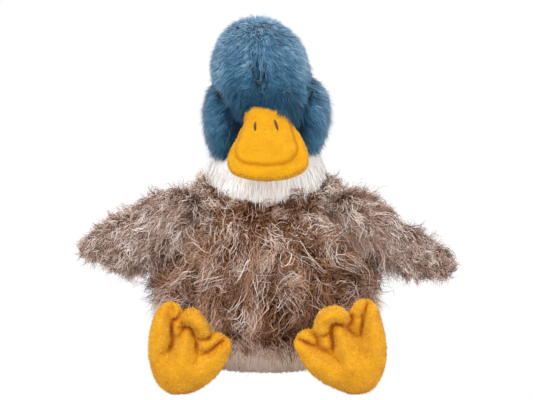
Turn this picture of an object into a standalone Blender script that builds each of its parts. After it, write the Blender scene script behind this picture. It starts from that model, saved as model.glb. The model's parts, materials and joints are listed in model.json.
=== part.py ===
"""Plush duck that sits with its wings spread and its webbed feet out in front.

Metres, +Z up. The duck looks along -Y, so its own left side is at +X. The origin is on the
floor, under the middle of the body. Run with: blender --background --python part.py
"""

import math

import bmesh
import bpy
from mathutils import Matrix, Vector

# Clearances and cutters, shared by all pieces
GAP = 0.0003
CUTTER_OVERRUN = 0.02
EMPTY_SIZE = 0.02
PROBE = 0.0005

# Body: an egg with a flat seat
BODY_CENTRE_HEIGHT = 0.060
BODY_HALF_WIDTH = 0.084
BODY_FRONT = 0.068
BODY_BACK = 0.072
BODY_RISE = 0.100
BODY_DROP = 0.068
BODY_TAPER_SHARE = 0.12
BODY_FULLNESS = 2.4
BODY_COVER_WALL = 0.009
UNDER_SEAM_HEIGHT = 0.056
UNDER_SEAM_SLOPE = math.radians(24)
SEAT_PANEL_THICKNESS = 0.005

# Pellet bag that weighs the seat down
PELLET_BAG_HALF_WIDTH = 0.036
PELLET_BAG_HALF_DEPTH = 0.029
PELLET_BAG_HEIGHT = 0.024
PELLET_BAG_FULLNESS = 2.6

# Neck: a stuffed ball with a fur collar, on which the head turns and nods
NECK_RADIUS = 0.043
NECK_BELOW_BODY_TOP = 0.014
COLLAR_WALL = 0.007
COLLAR_TOP = math.radians(52)
COLLAR_BOTTOM = math.radians(-38)

# Head
HEAD_LIFT = 0.074
HEAD_FORWARD = 0.010
HEAD_HALF_WIDTH = 0.0375
HEAD_FRONT = 0.042
HEAD_BACK = 0.044
HEAD_RISE = 0.048
HEAD_DROP = 0.056
HEAD_TAPER_SHARE = 0.05
HEAD_FULLNESS = 2.4
HEAD_COVER_WALL = 0.006
CHEEK_OUT = 0.030
CHEEK_BACK = 0.009
CHEEK_DOWN = 0.030
CHEEK_HALF_WIDTH = 0.018
CHEEK_HALF_DEPTH = 0.030
CHEEK_HALF_HEIGHT = 0.028

# Safety eyes
EYE_FORWARD = 0.014
EYE_DOWN = 0.008
EYE_RADIUS = 0.005
EYE_DOME = 0.0036
EYE_SHANK_RADIUS = 0.0015
EYE_SHANK_LENGTH = 0.0105
WASHER_RADIUS = 0.0055
WASHER_THICKNESS = 0.0012
WASHER_STANDOFF = 0.0010

# Bill
BILL_ROOT_DOWN = 0.0184
BILL_PITCH = math.radians(54)
BILL_LENGTH = 0.064
BILL_WIDTH = 0.060
BILL_SINK = 0.009
BILL_UPPER_RISE = 0.0100
BILL_LOWER_RISE = 0.0090
BILL_RIM = 0.0016
BILL_COVER_WALL = 0.0018
BILL_RIDGE_HALF_WIDTH = 0.022
BILL_RIDGE_LENGTH = 0.054
BILL_FLANGE_SHARE = 0.55
NOSTRIL_ALONG = 0.014
NOSTRIL_APART = 0.017
NOSTRIL_LENGTH = 0.0068
NOSTRIL_WIDTH = 0.0014
NOSTRIL_DEPTH = 0.0012

# Wings
WING_HINGE_HEIGHT = 0.114
WING_FORWARD = 0.034
WING_ROOT_RADIUS = 0.021
WING_NEST = 0.006
WING_LEFT_DROOP = math.radians(23)
WING_RIGHT_DROOP = math.radians(15)
WING_LENGTH = 0.073
WING_CHORD = 0.050
WING_RISE = 0.010
WING_RIM = 0.0020
WING_COVER_WALL = 0.0035

# Tail
TAIL_HEIGHT = 0.050
TAIL_ROOT_RADIUS = 0.016
TAIL_NEST = 0.006
TAIL_LIFT = math.radians(32)
TAIL_LENGTH = 0.042
TAIL_WIDTH = 0.046
TAIL_RISE = 0.009
TAIL_RIM = 0.0020
TAIL_COVER_WALL = 0.0030

# Legs
HIP_FROM_SIDE = 0.039
HIP_HEIGHT = 0.031
HIP_SINK = 0.004
HIP_RADIUS = 0.0135
LEG_RADIUS = 0.0100
LEG_REACH = 0.034
LEG_SPREAD = 0.0075
LEG_COVER_WALL = 0.0020
LEG_OPENING_RADIUS = 0.0045
ANKLE_RADIUS = 0.0120

# Feet
FOOT_WIDTH = 0.066
FOOT_HEIGHT = 0.072
FOOT_OUT_OF_LEG = 0.002
FOOT_SOLE_RISE = 0.0150
FOOT_BACK_RISE = 0.0105
FOOT_RIM = 0.0022
FOOT_COVER_WALL = 0.0020
ANKLE_NEST = 0.006
TOE_RIDGE_HALF_WIDTH = 0.0115
WEB_LEVEL_SHARE = 0.62
LEFT_FOOT_LEAN = math.radians(0)
RIGHT_FOOT_LEAN = math.radians(-5)

# Outlines of the left-hand pieces, as shares of length along and width across. A spine is the
# line from which a piece slopes down to its outline.
WING_SHARES = (
    (0.20, 0.45), (0.40, 0.38), (0.60, 0.23), (0.80, 0.14), (0.94, 0.05), (1.00, -0.06),
    (0.97, -0.18), (0.84, -0.30), (0.68, -0.42), (0.54, -0.51), (0.41, -0.48), (0.27, -0.37),
)
WING_SPINE_SHARES = ((0.00, 0.00), (0.62, -0.12))
TAIL_SHARES = (
    (0.30, 0.42), (0.55, 0.46), (0.78, 0.32), (0.93, 0.15), (1.00, 0.00),
    (0.93, -0.15), (0.78, -0.32), (0.55, -0.46), (0.30, -0.42),
)
TAIL_SPINE_SHARES = ((0.00, 0.00), (0.60, 0.00))
# Across and along from the root, down to the broad tip
BILL_SHARES = (
    (-0.29, 0.00), (-0.29, 0.22), (-0.37, 0.34), (-0.45, 0.58), (-0.50, 0.76), (-0.45, 0.90),
    (-0.27, 0.97), (0.00, 1.00), (0.27, 0.97), (0.45, 0.90), (0.50, 0.76), (0.45, 0.58),
    (0.37, 0.34), (0.29, 0.22), (0.29, 0.00),
)
BILL_SPINE_SHARES = ((0.00, 0.25), (0.00, 0.72))
# Across (+ is outward) and up from the middle of the sole, anticlockwise from the outer toe
FOOT_SHARES = (
    (0.30, 0.53), (0.20, 0.52), (0.135, 0.45), (0.10, 0.405), (0.05, 0.44), (-0.07, 0.465),
    (-0.20, 0.415), (-0.285, 0.28), (-0.30, 0.215), (-0.37, 0.22), (-0.45, 0.19),
    (-0.50, 0.09), (-0.485, 0.03), (-0.44, -0.07), (-0.37, -0.19), (-0.25, -0.30),
    (-0.11, -0.38), (0.04, -0.445), (0.16, -0.465), (0.27, -0.445), (0.37, -0.385),
    (0.455, -0.28), (0.49, -0.14), (0.50, 0.03), (0.47, 0.23), (0.42, 0.395), (0.37, 0.50),
)
FOOT_SPINE_SHARES = ((0.06, -0.10), (0.02, 0.12))
# The toes run from the lower end of the sole's spine to these points
TOE_TIP_SHARES = ((0.27, 0.46), (-0.06, 0.40), (-0.44, 0.10))

BLUE = (0.12, 0.24, 0.37)
YELLOW = (0.90, 0.54, 0.03)
BROWN = (0.34, 0.26, 0.21)
CREAM = (0.72, 0.66, 0.60)
WHITE = (0.82, 0.78, 0.74)
BLACK = (0.01, 0.01, 0.012)
THREAD = (0.10, 0.04, 0.02)
LEFT, RIGHT = 1, -1
SIDES = (("left", LEFT), ("right", RIGHT))
# Local X stays across, local Y points up and local Z, the face of a piece, points forward
FACING_FORWARD = Matrix(((1, 0, 0, 0), (0, 0, -1, 0), (0, 1, 0, 0), (0, 0, 0, 1)))


def clear_scene():
    for obj in list(bpy.data.objects):
        bpy.data.objects.remove(obj, do_unlink=True)


def material(name, colour, roughness):
    made = bpy.data.materials.new(name)
    made.use_nodes = True
    shader = made.node_tree.nodes["Principled BSDF"]
    shader.inputs["Base Color"].default_value = (*colour, 1.0)
    shader.inputs["Roughness"].default_value = roughness
    shader.inputs["Metallic"].default_value = 0.0
    return made


def add(name, bm, finish=None, frame=None, smooth=True):
    """Makes an object of bm, in the axes of frame, and frees bm."""
    bmesh.ops.recalc_face_normals(bm, faces=bm.faces)
    mesh = bpy.data.meshes.new(name)
    bm.to_mesh(mesh)
    bm.free()
    if smooth:
        mesh.shade_smooth()
    obj = bpy.data.objects.new(name, mesh)
    obj.matrix_world = frame or Matrix.Identity(4)
    if finish:
        mesh.materials.append(finish)
    bpy.context.scene.collection.objects.link(obj)
    return obj


def helper(name, bm, frame=None):
    """A cutter, which no render shows."""
    obj = add(name, bm, frame=frame, smooth=False)
    obj.hide_render = True
    obj.display_type = "WIRE"
    return obj


def pivot(name, place, pieces, parent=None):
    """An empty on a joint's axis, which carries the pieces that move about it."""
    carrier = bpy.data.objects.new(name, None)
    carrier.empty_display_size = EMPTY_SIZE
    carrier.location = place
    bpy.context.scene.collection.objects.link(carrier)
    bpy.context.view_layer.update()
    if parent:
        carrier.parent = parent
        carrier.matrix_parent_inverse = parent.matrix_world.inverted()
    for piece in pieces:
        piece.parent = carrier
        piece.matrix_parent_inverse = Matrix.Translation(place).inverted()
    bpy.context.view_layer.update()
    return carrier


def boolean(obj, tools, operation="DIFFERENCE"):
    for tool in tools:
        modifier = obj.modifiers.new(f"{operation.lower()}_{tool.name}", "BOOLEAN")
        modifier.operation = operation
        modifier.object = tool
    return obj


def join_rings(bm, rings, closed_loop=False):
    """Quads between each ring of vertices and the next."""
    pairs = list(zip(rings, rings[1:]))
    if closed_loop:
        pairs.append((rings[-1], rings[0]))
    for low, high in pairs:
        for i, vertex in enumerate(low):
            after = (i + 1) % len(low)
            bm.faces.new((vertex, low[after], high[after], high[i]))


def turns_of(segments):
    """Angles round a ring, with none in the planes of symmetry."""
    return [2 * math.pi * (i + 0.5) / segments for i in range(segments)]


def turned(profile, segments):
    """A closed solid turned about local Z. The profile is (radius, height) points, and radius
    zero at its ends makes a point there."""
    bm = bmesh.new()
    rings = []
    for radius, height in profile:
        if radius == 0:
            continue
        rings.append([
            bm.verts.new((radius * math.cos(turn), radius * math.sin(turn), height))
            for turn in turns_of(segments)
        ])
    join_rings(bm, rings)
    for ring, (radius, height) in ((rings[0], profile[0]), (rings[-1], profile[-1])):
        if radius > 0:
            bm.faces.new(ring)
            continue
        tip = bm.verts.new((0, 0, height))
        for i, vertex in enumerate(ring):
            bm.faces.new((vertex, ring[(i + 1) % segments], tip))
    return bm


def arc(radius, start, end, steps):
    """(radius from the axis, height) points on a circle round the origin, by latitude."""
    angles = [start + (end - start) * i / steps for i in range(steps + 1)]
    return [(radius * math.cos(angle), radius * math.sin(angle)) for angle in angles]


def ball(radius, segments=24, steps=12):
    points = arc(radius, -math.pi / 2, math.pi / 2, steps)
    points[0], points[-1] = (0, -radius), (0, radius)
    return turned(points, segments)


def socket_radius(radius, segments, step):
    """The radius of a faceted hollow that clears the round ball of radius by a gap."""
    return (radius + GAP) / (math.cos(math.pi / segments) * math.cos(step / 2))


def socket_ball(radius, segments, steps):
    return ball(socket_radius(radius, segments, math.pi / steps), segments, steps)


def rod(radius, low, high, segments=24):
    return turned(((radius, low), (radius, high)), segments)


def box(low, high):
    bm = bmesh.new()
    bmesh.ops.create_cube(bm, size=1)
    size = Vector(high) - Vector(low)
    middle = (Vector(high) + Vector(low)) / 2
    bmesh.ops.transform(
        bm, matrix=Matrix.Translation(middle) @ Matrix.Diagonal((*size, 1)), verts=bm.verts
    )
    return bm


def scaled(shares, across, up):
    return [Vector((across * x_share, up * y_share)) for x_share, y_share in shares]


def smooth_through(points, steps):
    """Points on a smooth curve through the given ones, which are kept."""
    last = len(points) - 1
    found = []
    for i in range(last):
        before, start, end, after = (points[min(max(i + k, 0), last)] for k in (-1, 0, 1, 2))
        for step in range(steps):
            t = step / steps
            found.append(0.5 * (
                2 * start
                + (end - before) * t
                + (2 * before - 5 * start + 4 * end - after) * t ** 2
                + (3 * start - before - 3 * end + after) * t ** 3
            ))
    found.append(points[-1])
    return found


class Egg:
    """A stuffed form with an oval plan that narrows towards the top by its taper."""

    def __init__(self, centre, half_width, front, back, rise, drop, taper_share, fullness):
        self.centre = Vector(centre)
        self.half_width = half_width
        self.front, self.back = front, back
        self.rise, self.drop = rise, drop
        self.taper_share, self.fullness = taper_share, fullness

    def girth_share(self, level):
        round_share = max(0.0, 1 - abs(level) ** self.fullness) ** (1 / self.fullness)
        return round_share * (1 - self.taper_share * level)

    def level_at(self, z):
        above = z - self.centre.z
        return above / (self.rise if above > 0 else self.drop)

    def point(self, turn, level):
        girth = self.girth_share(level)
        depth = self.front if math.sin(turn) < 0 else self.back
        height = self.rise if level > 0 else self.drop
        return self.centre + Vector((
            self.half_width * girth * math.cos(turn),
            depth * girth * math.sin(turn),
            height * level,
        ))

    def side_at(self, y, z):
        """How far out the surface lies there."""
        behind = y - self.centre.y
        depth_share = behind / (self.back if behind > 0 else self.front)
        girth = self.girth_share(self.level_at(z))
        return self.half_width * math.sqrt(max(0.0, girth ** 2 - depth_share ** 2))

    def depth_share_at(self, x, z):
        girth = self.girth_share(self.level_at(z))
        return math.sqrt(max(0.0, girth ** 2 - (x / self.half_width) ** 2))

    def front_at(self, x, z):
        return self.centre.y - self.front * self.depth_share_at(x, z)

    def back_at(self, x, z):
        return self.centre.y + self.back * self.depth_share_at(x, z)

    def outward_at(self, y, z):
        """The direction square to the left side there."""
        along_y = self.side_at(y + PROBE, z) - self.side_at(y - PROBE, z)
        along_z = self.side_at(y, z + PROBE) - self.side_at(y, z - PROBE)
        return Vector((2 * PROBE, -along_y, -along_z)).normalized()

    def mesh(self, inset=0.0, segments=24, steps=12):
        bm = bmesh.new()
        rings = []
        for i in range(1, steps):
            level = math.sin(math.pi * (i / steps - 0.5))
            rings.append([bm.verts.new(self.point(t, level)) for t in turns_of(segments)])
        join_rings(bm, rings)
        for ring, level in ((rings[0], -1), (rings[-1], 1)):
            pole = bm.verts.new(self.point(0, level))
            for i, vertex in enumerate(ring):
                bm.faces.new((vertex, ring[(i + 1) % segments], pole))
        bmesh.ops.recalc_face_normals(bm, faces=bm.faces)
        bm.normal_update()
        moves = [vertex.normal * inset for vertex in bm.verts]
        for vertex, move in zip(bm.verts, moves):
            vertex.co -= move
        return bm


class Pillow:
    """A flat stuffed piece: two covers, sewn along the outline, round a filling.

    It lies in its frame's XY plane and swells towards +Z by rise and towards -Z by back_rise.
    relief gives the share of the rise that is left at a point of the front.
    """

    def __init__(self, frame, outline, spine, rise, back_rise, rim, wall, rings=4):
        self.frame, self.outline, self.spine = frame, outline, spine
        self.rise, self.back_rise = rise, back_rise
        self.rim, self.wall = rim, wall
        self.ring_shares = [math.sin(math.pi / 2 * (i + 1) / rings) for i in range(rings)]
        self.relief = lambda x, y: 1.0
        self.least_relief_share = 1.0

    def swell(self, rise, share):
        """Height above the seam, at a share of the way from the spine to the outline."""
        return self.rim + (rise - self.rim) * math.sqrt(max(0.0, 1 - share ** 2))

    def front(self, share, x, y):
        return self.swell(self.rise * self.relief(x, y), share)

    def back(self, share, x, y):
        return -self.swell(self.back_rise, share)

    def layer(self, low, high, ring_shares):
        """The solid between two surfaces, each a function of the share and the place."""
        bm = bmesh.new()
        a, b = self.spine
        run = b - a
        feet = [
            a + run * min(max((p - a).dot(run) / run.length_squared, 0.0), 1.0)
            for p in self.outline
        ]
        surfaces = []
        for surface in (low, high):
            made = []
            for share in ring_shares:
                places = [foot.lerp(p, share) for foot, p in zip(feet, self.outline)]
                made.append([bm.verts.new((p.x, p.y, surface(share, p.x, p.y))) for p in places])
            surfaces.append(made)
        under, over = surfaces
        for made in surfaces:
            bm.faces.new(made[0])
            join_rings(bm, made)
        join_rings(bm, [under[-1], over[-1]])
        bmesh.ops.triangulate(bm, faces=[f for f in bm.faces if len(f.verts) > 4])
        return bm

    def front_cover(self):
        def inner(share, x, y):
            return max(self.front(share, x, y) - self.wall, GAP / 2)
        return self.layer(inner, self.front, self.ring_shares)

    def back_cover(self):
        def inner(share, x, y):
            return min(self.back(share, x, y) + self.wall, -GAP / 2)
        return self.layer(self.back, inner, self.ring_shares)

    def filling(self):
        """Its rings lie under those of the covers, so that it keeps its gap between them."""
        inset = self.wall + GAP

        def over(share, x, y):
            return self.swell(self.rise * self.least_relief_share, share) - inset

        def under(share, x, y):
            return self.back(share, x, y) + inset
        return self.layer(under, over, self.ring_shares[1:-1])


def rooted_outline(shares, length, width, root_radius, side):
    """An outline that starts and ends on the round root about the frame's origin."""
    round_end = [
        Vector((root_radius * math.cos(turn), root_radius * math.sin(turn)))
        for turn in (math.pi * (0.5 + i / 8) for i in range(9))
    ]
    shaped = scaled(reversed(shares), length, width)
    rest = smooth_through([round_end[-1], *shaped, round_end[0]], 2)[1:-1]
    return [Vector((side * point.x, point.y)) for point in round_end + rest]


def hinge_on_body(body):
    """The left wing's hinge, which stands off the shoulder so that its round root nests."""
    y = body.centre.y - WING_FORWARD
    surface = Vector((body.side_at(y, WING_HINGE_HEIGHT), y, WING_HINGE_HEIGHT))
    outward = body.outward_at(y, WING_HINGE_HEIGHT)
    outward.y = 0
    return surface + outward.normalized() * (WING_ROOT_RADIUS - WING_NEST)


def mirrored(point, side):
    return Vector((side * point.x, point.y, point.z))


def axis_frame(origin, direction):
    """A frame whose local Z runs along direction."""
    turn = Vector((0, 0, 1)).rotation_difference(direction.normalized())
    return Matrix.Translation(origin) @ turn.to_matrix().to_4x4()


def body_egg():
    centre = (0, 0, BODY_CENTRE_HEIGHT)
    return Egg(
        centre, BODY_HALF_WIDTH, BODY_FRONT, BODY_BACK, BODY_RISE, BODY_DROP,
        BODY_TAPER_SHARE, BODY_FULLNESS,
    )


def neck_centre(body):
    return body.centre + Vector((0, 0, BODY_RISE - NECK_BELOW_BODY_TOP))


def head_egg(neck):
    centre = neck + Vector((0, -HEAD_FORWARD, HEAD_LIFT))
    return Egg(
        centre, HEAD_HALF_WIDTH, HEAD_FRONT, HEAD_BACK, HEAD_RISE, HEAD_DROP,
        HEAD_TAPER_SHARE, HEAD_FULLNESS,
    )


def wing_pillow(hinge, side):
    droop = WING_LEFT_DROOP if side == LEFT else WING_RIGHT_DROOP
    outline = rooted_outline(WING_SHARES, WING_LENGTH, WING_CHORD, WING_ROOT_RADIUS, side)
    frame = (
        Matrix.Translation(mirrored(hinge, side))
        @ FACING_FORWARD
        @ Matrix.Rotation(-side * droop, 4, "Z")
    )
    spine = scaled(WING_SPINE_SHARES, side * WING_LENGTH, WING_CHORD)
    return Pillow(frame, outline, spine, WING_RISE, WING_RISE, WING_RIM, WING_COVER_WALL)


def tail_pillow(body):
    """The tail lies flat, lifted at its tip. Its hinge is square to it."""
    y = body.back_at(0, TAIL_HEIGHT) + TAIL_ROOT_RADIUS - TAIL_NEST
    backward = Matrix.Rotation(math.pi / 2, 4, "Z")
    frame = (
        Matrix.Translation((0, y, TAIL_HEIGHT))
        @ Matrix.Rotation(TAIL_LIFT, 4, "X")
        @ backward
    )
    outline = rooted_outline(TAIL_SHARES, TAIL_LENGTH, TAIL_WIDTH, TAIL_ROOT_RADIUS, 1)
    spine = scaled(TAIL_SPINE_SHARES, TAIL_LENGTH, TAIL_WIDTH)
    return Pillow(frame, outline, spine, TAIL_RISE, TAIL_RISE, TAIL_RIM, TAIL_COVER_WALL)


def bill_pillow(head):
    """Local Y runs from the tip back to the root, and local Z out of the bill's top."""
    z = head.centre.z - BILL_ROOT_DOWN
    root = Vector((0, head.front_at(0, z) + BILL_SINK * math.cos(BILL_PITCH), z))
    root.z += BILL_SINK * math.sin(BILL_PITCH)
    frame = (
        Matrix.Translation(root)
        @ FACING_FORWARD
        @ Matrix.Rotation(BILL_PITCH - math.pi / 2, 4, "X")
    )
    outline = smooth_through(scaled(BILL_SHARES, BILL_WIDTH, -BILL_LENGTH), 2)
    spine = scaled(BILL_SPINE_SHARES, BILL_WIDTH, -BILL_LENGTH)

    def ridge(x, y):
        """The stuffed middle stands above the flat border."""
        side = abs(x) / BILL_RIDGE_HALF_WIDTH
        end = max(0.0, -y) / BILL_RIDGE_LENGTH
        outside = max(side ** 3, end ** 4)
        return 1.0 if outside < 1 else BILL_FLANGE_SHARE
    pillow = Pillow(
        frame, outline, spine, BILL_UPPER_RISE, BILL_LOWER_RISE, BILL_RIM, BILL_COVER_WALL, 5
    )
    pillow.relief = ridge
    pillow.least_relief_share = BILL_FLANGE_SHARE
    return pillow


def hip_of(body, side):
    out = BODY_HALF_WIDTH - HIP_FROM_SIDE
    y = body.front_at(out, HIP_HEIGHT) + HIP_SINK
    return Vector((side * out, y, HIP_HEIGHT))


def ankle_of(hip, side):
    return hip + Vector((side * LEG_SPREAD, -LEG_REACH, 0))


def toe_relief(side):
    """The share of the sole's rise: full along each toe, and less over the webs between."""
    start = scaled(FOOT_SPINE_SHARES, side * FOOT_WIDTH, FOOT_HEIGHT)[0]
    tips = scaled(TOE_TIP_SHARES, side * FOOT_WIDTH, FOOT_HEIGHT)

    def relief(x, y):
        place = Vector((x, y))
        nearest = min(
            (place - (start + (tip - start) * min(max(
                (place - start).dot(tip - start) / (tip - start).length_squared, 0.0), 1.0))).length
            for tip in tips
        )
        if place.y < start.y:
            return 1.0
        ridge = math.sqrt(max(0.0, 1 - (nearest / TOE_RIDGE_HALF_WIDTH) ** 2))
        rise = min(1.0, (place.y - start.y) / TOE_RIDGE_HALF_WIDTH)
        return 1 - (1 - WEB_LEVEL_SHARE) * (1 - ridge) * rise
    return relief


def foot_pillow(ankle, side, lean):
    outline = scaled(FOOT_SHARES, side * FOOT_WIDTH, FOOT_HEIGHT)
    turn = Matrix.Rotation(side * lean, 2)
    lowest = min((turn @ point).y for point in outline)
    y = ankle.y - ANKLE_RADIUS + ANKLE_NEST - FOOT_BACK_RISE
    frame = (
        Matrix.Translation((ankle.x + side * FOOT_OUT_OF_LEG, y, -lowest))
        @ FACING_FORWARD
        @ Matrix.Rotation(side * lean, 4, "Z")
    )
    spine = scaled(FOOT_SPINE_SHARES, side * FOOT_WIDTH, FOOT_HEIGHT)
    pillow = Pillow(
        frame, outline, spine, FOOT_SOLE_RISE, FOOT_BACK_RISE, FOOT_RIM, FOOT_COVER_WALL
    )
    pillow.relief = toe_relief(side)
    pillow.least_relief_share = WEB_LEVEL_SHARE
    return pillow


def make_body(body, neck, hips, finishes):
    """Covers, seat panel, stuffing and pellet bag, with the joints' sockets cut in them."""
    far = BODY_HALF_WIDTH + BODY_RISE + CUTTER_OVERRUN
    cavity = helper("cavity_cutter", body.mesh(BODY_COVER_WALL, 20, 10))
    neck_cut = helper(
        "neck_cutter", socket_ball(NECK_RADIUS, 32, 16), Matrix.Translation(neck)
    )
    below_panel = helper(
        "seat_cutter", box((-far, -far, -far), (far, far, SEAT_PANEL_THICKNESS + GAP))
    )
    under_frame = (
        Matrix.Translation((0, 0, UNDER_SEAM_HEIGHT))
        @ Matrix.Rotation(UNDER_SEAM_SLOPE, 4, "X")
    )
    lower = helper("lower_cutter", box((-far, -far, -far), (far, far, 0)), under_frame)
    upper = helper("upper_cutter", box((-far, -far, -GAP), (far, far, far)), under_frame)
    rear = helper("rear_cutter", box((-far, 0, -far), (far, far, far)))
    front = helper("front_cutter", box((-far, -far, -far), (far, GAP, far)))
    hip_cuts = [
        helper(f"hip_cutter_{name}", socket_ball(HIP_RADIUS, 16, 8), Matrix.Translation(hips[name]))
        for name, side in SIDES
    ]
    hinge = hinge_on_body(body)
    pocket_half = WING_RISE + GAP
    pockets = [
        helper(
            f"wing_pocket_{name}",
            rod(WING_ROOT_RADIUS + GAP, -pocket_half, pocket_half, 28),
            Matrix.Translation(mirrored(hinge, side)) @ FACING_FORWARD,
        )
        for name, side in SIDES
    ]
    tail = tail_pillow(body)
    tail_half = TAIL_RISE + GAP
    tail_pocket = helper(
        "tail_pocket", rod(TAIL_ROOT_RADIUS + GAP, -tail_half, tail_half, 24), tail.frame
    )
    fur, plush, filling = finishes["brown_fur"], finishes["cream_plush"], finishes["stuffing"]
    boolean(
        add("body_front_cover", body.mesh(), fur),
        [rear, cavity, neck_cut, lower, *pockets, *hip_cuts],
    )
    boolean(add("body_back_cover", body.mesh(), fur), [front, cavity, neck_cut, lower, tail_pocket])
    boolean(
        add("under_cover", body.mesh(), plush), [cavity, upper, below_panel, *hip_cuts, tail_pocket]
    )
    seat = box((-far, -far, 0), (far, far, SEAT_PANEL_THICKNESS))
    boolean(
        add("seat_panel", body.mesh(), plush, smooth=False),
        [helper("seat_slice", seat)], "INTERSECT",
    )
    bag = Egg(
        (0, 0, SEAT_PANEL_THICKNESS + GAP), PELLET_BAG_HALF_WIDTH, PELLET_BAG_HALF_DEPTH,
        PELLET_BAG_HALF_DEPTH, PELLET_BAG_HEIGHT, PELLET_BAG_HEIGHT, 0.0, PELLET_BAG_FULLNESS,
    )
    bag_cut = helper("bag_cutter", bag.mesh(-GAP, 20, 10))
    boolean(add("pellet_bag", bag.mesh(0, 20, 10), finishes["pellet_cloth"]), [below_panel])
    boolean(
        add("body_stuffing", body.mesh(BODY_COVER_WALL + GAP, 20, 10), filling),
        [below_panel, neck_cut, bag_cut, *hip_cuts],
    )


def make_neck(neck, finishes):
    """The collar is a zone of the ball's shell, over the neck's own stuffing."""
    frame = Matrix.Translation(neck)
    segments, steps = 24, 5
    stuffing_radius = NECK_RADIUS - COLLAR_WALL
    inner_radius = socket_radius(
        stuffing_radius, segments, (COLLAR_TOP - COLLAR_BOTTOM) / steps
    )
    outer = arc(NECK_RADIUS, COLLAR_BOTTOM, COLLAR_TOP, steps)
    inner = arc(inner_radius, COLLAR_TOP, COLLAR_BOTTOM, steps)
    bm = bmesh.new()
    rings = []
    for radius, height in outer + inner:
        rings.append([
            bm.verts.new((radius * math.cos(t), radius * math.sin(t), height))
            for t in turns_of(segments)
        ])
    join_rings(bm, rings, closed_loop=True)
    core = add("neck_stuffing", ball(stuffing_radius, 18, 9), finishes["stuffing"], frame)
    collar = add("collar", bm, finishes["white_fur"], frame)
    turning = pivot("neck_pivot", neck, [core])
    return pivot("collar_pivot", neck, [collar], turning)


def make_eye(head, name, side, finishes):
    """A domed safety eye whose shank passes through the cover into its washer."""
    y = head.centre.y - EYE_FORWARD
    z = head.centre.z - EYE_DOWN
    seat = mirrored(Vector((head.side_at(y, z), y, z)), side)
    frame = axis_frame(seat, mirrored(head.outward_at(y, z), side))
    dome_radius = (EYE_RADIUS ** 2 + EYE_DOME ** 2) / (2 * EYE_DOME)
    edge = math.asin(1 - EYE_DOME / dome_radius)
    dome = [
        (radius, height - (dome_radius - EYE_DOME) + GAP)
        for radius, height in arc(dome_radius, edge, math.pi / 2, 5)
    ]
    dome[-1] = (0, EYE_DOME + GAP)
    profile = [(EYE_SHANK_RADIUS, -EYE_SHANK_LENGTH), (EYE_SHANK_RADIUS, GAP), *dome]
    eye = add(f"eye_{name}", turned(profile, 12), finishes["eye_black"], frame)
    top = -HEAD_COVER_WALL - WASHER_STANDOFF
    washer = add(
        f"eye_washer_{name}", rod(WASHER_RADIUS, top - WASHER_THICKNESS, top, 16),
        finishes["washer_plastic"], frame, smooth=False,
    )
    reach = EYE_SHANK_LENGTH + CUTTER_OVERRUN
    bore = helper(f"shank_bore_{name}", rod(EYE_SHANK_RADIUS + GAP, -reach, reach, 14), frame)
    boolean(washer, [bore])
    finished = [eye, washer]
    room = helper(
        f"washer_room_{name}", rod(WASHER_RADIUS + GAP, -EYE_SHANK_LENGTH - GAP, reach, 16), frame
    )
    return finished, bore, room


def make_head(head, finishes):
    """Two crown panels, two cheek pads, the eyes and the stuffing. Returns the pieces and the
    cutter that trims what is sewn to the head."""
    far = HEAD_RISE + HEAD_DROP + CUTTER_OVERRUN
    neck_cut = bpy.data.objects["neck_cutter"]
    cavity = helper("head_cavity_cutter", head.mesh(HEAD_COVER_WALL, 20, 10))
    skull = helper("skull_cutter", head.mesh(-GAP))
    pieces, washer_rooms = [], []
    for name, side in SIDES:
        eye_pieces, bore, room = make_eye(head, name, side, finishes)
        pieces += eye_pieces
        washer_rooms.append(room)
        edge, beyond = side * GAP / 2, -side * far
        low = (min(edge, beyond), -far, -far)
        high = (max(edge, beyond), far, far)
        half = helper(f"crown_half_{name}", box(low, high), Matrix.Translation(head.centre))
        cover = add(f"head_cover_{name}", head.mesh(), finishes["blue_plush"])
        pieces.append(boolean(cover, [half, cavity, neck_cut, bore]))
        middle = head.centre + Vector((side * CHEEK_OUT, CHEEK_BACK, -CHEEK_DOWN))
        pad = Egg(
            middle, CHEEK_HALF_WIDTH, CHEEK_HALF_DEPTH, CHEEK_HALF_DEPTH,
            CHEEK_HALF_HEIGHT, CHEEK_HALF_HEIGHT, 0.0, 2.0,
        )
        cheek = add(f"cheek_{name}", pad.mesh(0, 16, 10), finishes["blue_plush"])
        pieces.append(boolean(cheek, [skull, neck_cut]))
    stuffing = add(
        "head_stuffing", head.mesh(HEAD_COVER_WALL + GAP, 20, 10), finishes["stuffing"]
    )
    pieces.append(boolean(stuffing, [neck_cut, *washer_rooms]))
    return pieces, skull


def make_bill(head, skull, finishes):
    pillow = bill_pillow(head)
    upper = add("bill_upper", pillow.front_cover(), finishes["yellow_felt"], pillow.frame)
    lower = add("bill_lower", pillow.back_cover(), finishes["yellow_felt"], pillow.frame)
    filling = add("bill_filling", pillow.filling(), finishes["stuffing"], pillow.frame)
    stitches, slots = [], []
    for name, side in SIDES:
        x, y = side * NOSTRIL_APART / 2, -BILL_SINK - NOSTRIL_ALONG
        top = pillow.front(0, x, y)
        half = Vector((NOSTRIL_WIDTH / 2, NOSTRIL_LENGTH / 2, 0))
        low = Vector((x, y, top - NOSTRIL_DEPTH)) - half
        high = Vector((x, y, top)) + half
        stitches.append(add(
            f"nostril_{name}", box(low, high), finishes["brown_thread"], pillow.frame, smooth=False
        ))
        room = Vector((GAP, GAP, GAP))
        slots.append(helper(f"nostril_slot_{name}", box(low - room, high + room), pillow.frame))
    boolean(upper, [skull, *slots])
    boolean(lower, [skull])
    boolean(filling, [skull])
    return [upper, lower, filling, *stitches]


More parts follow.
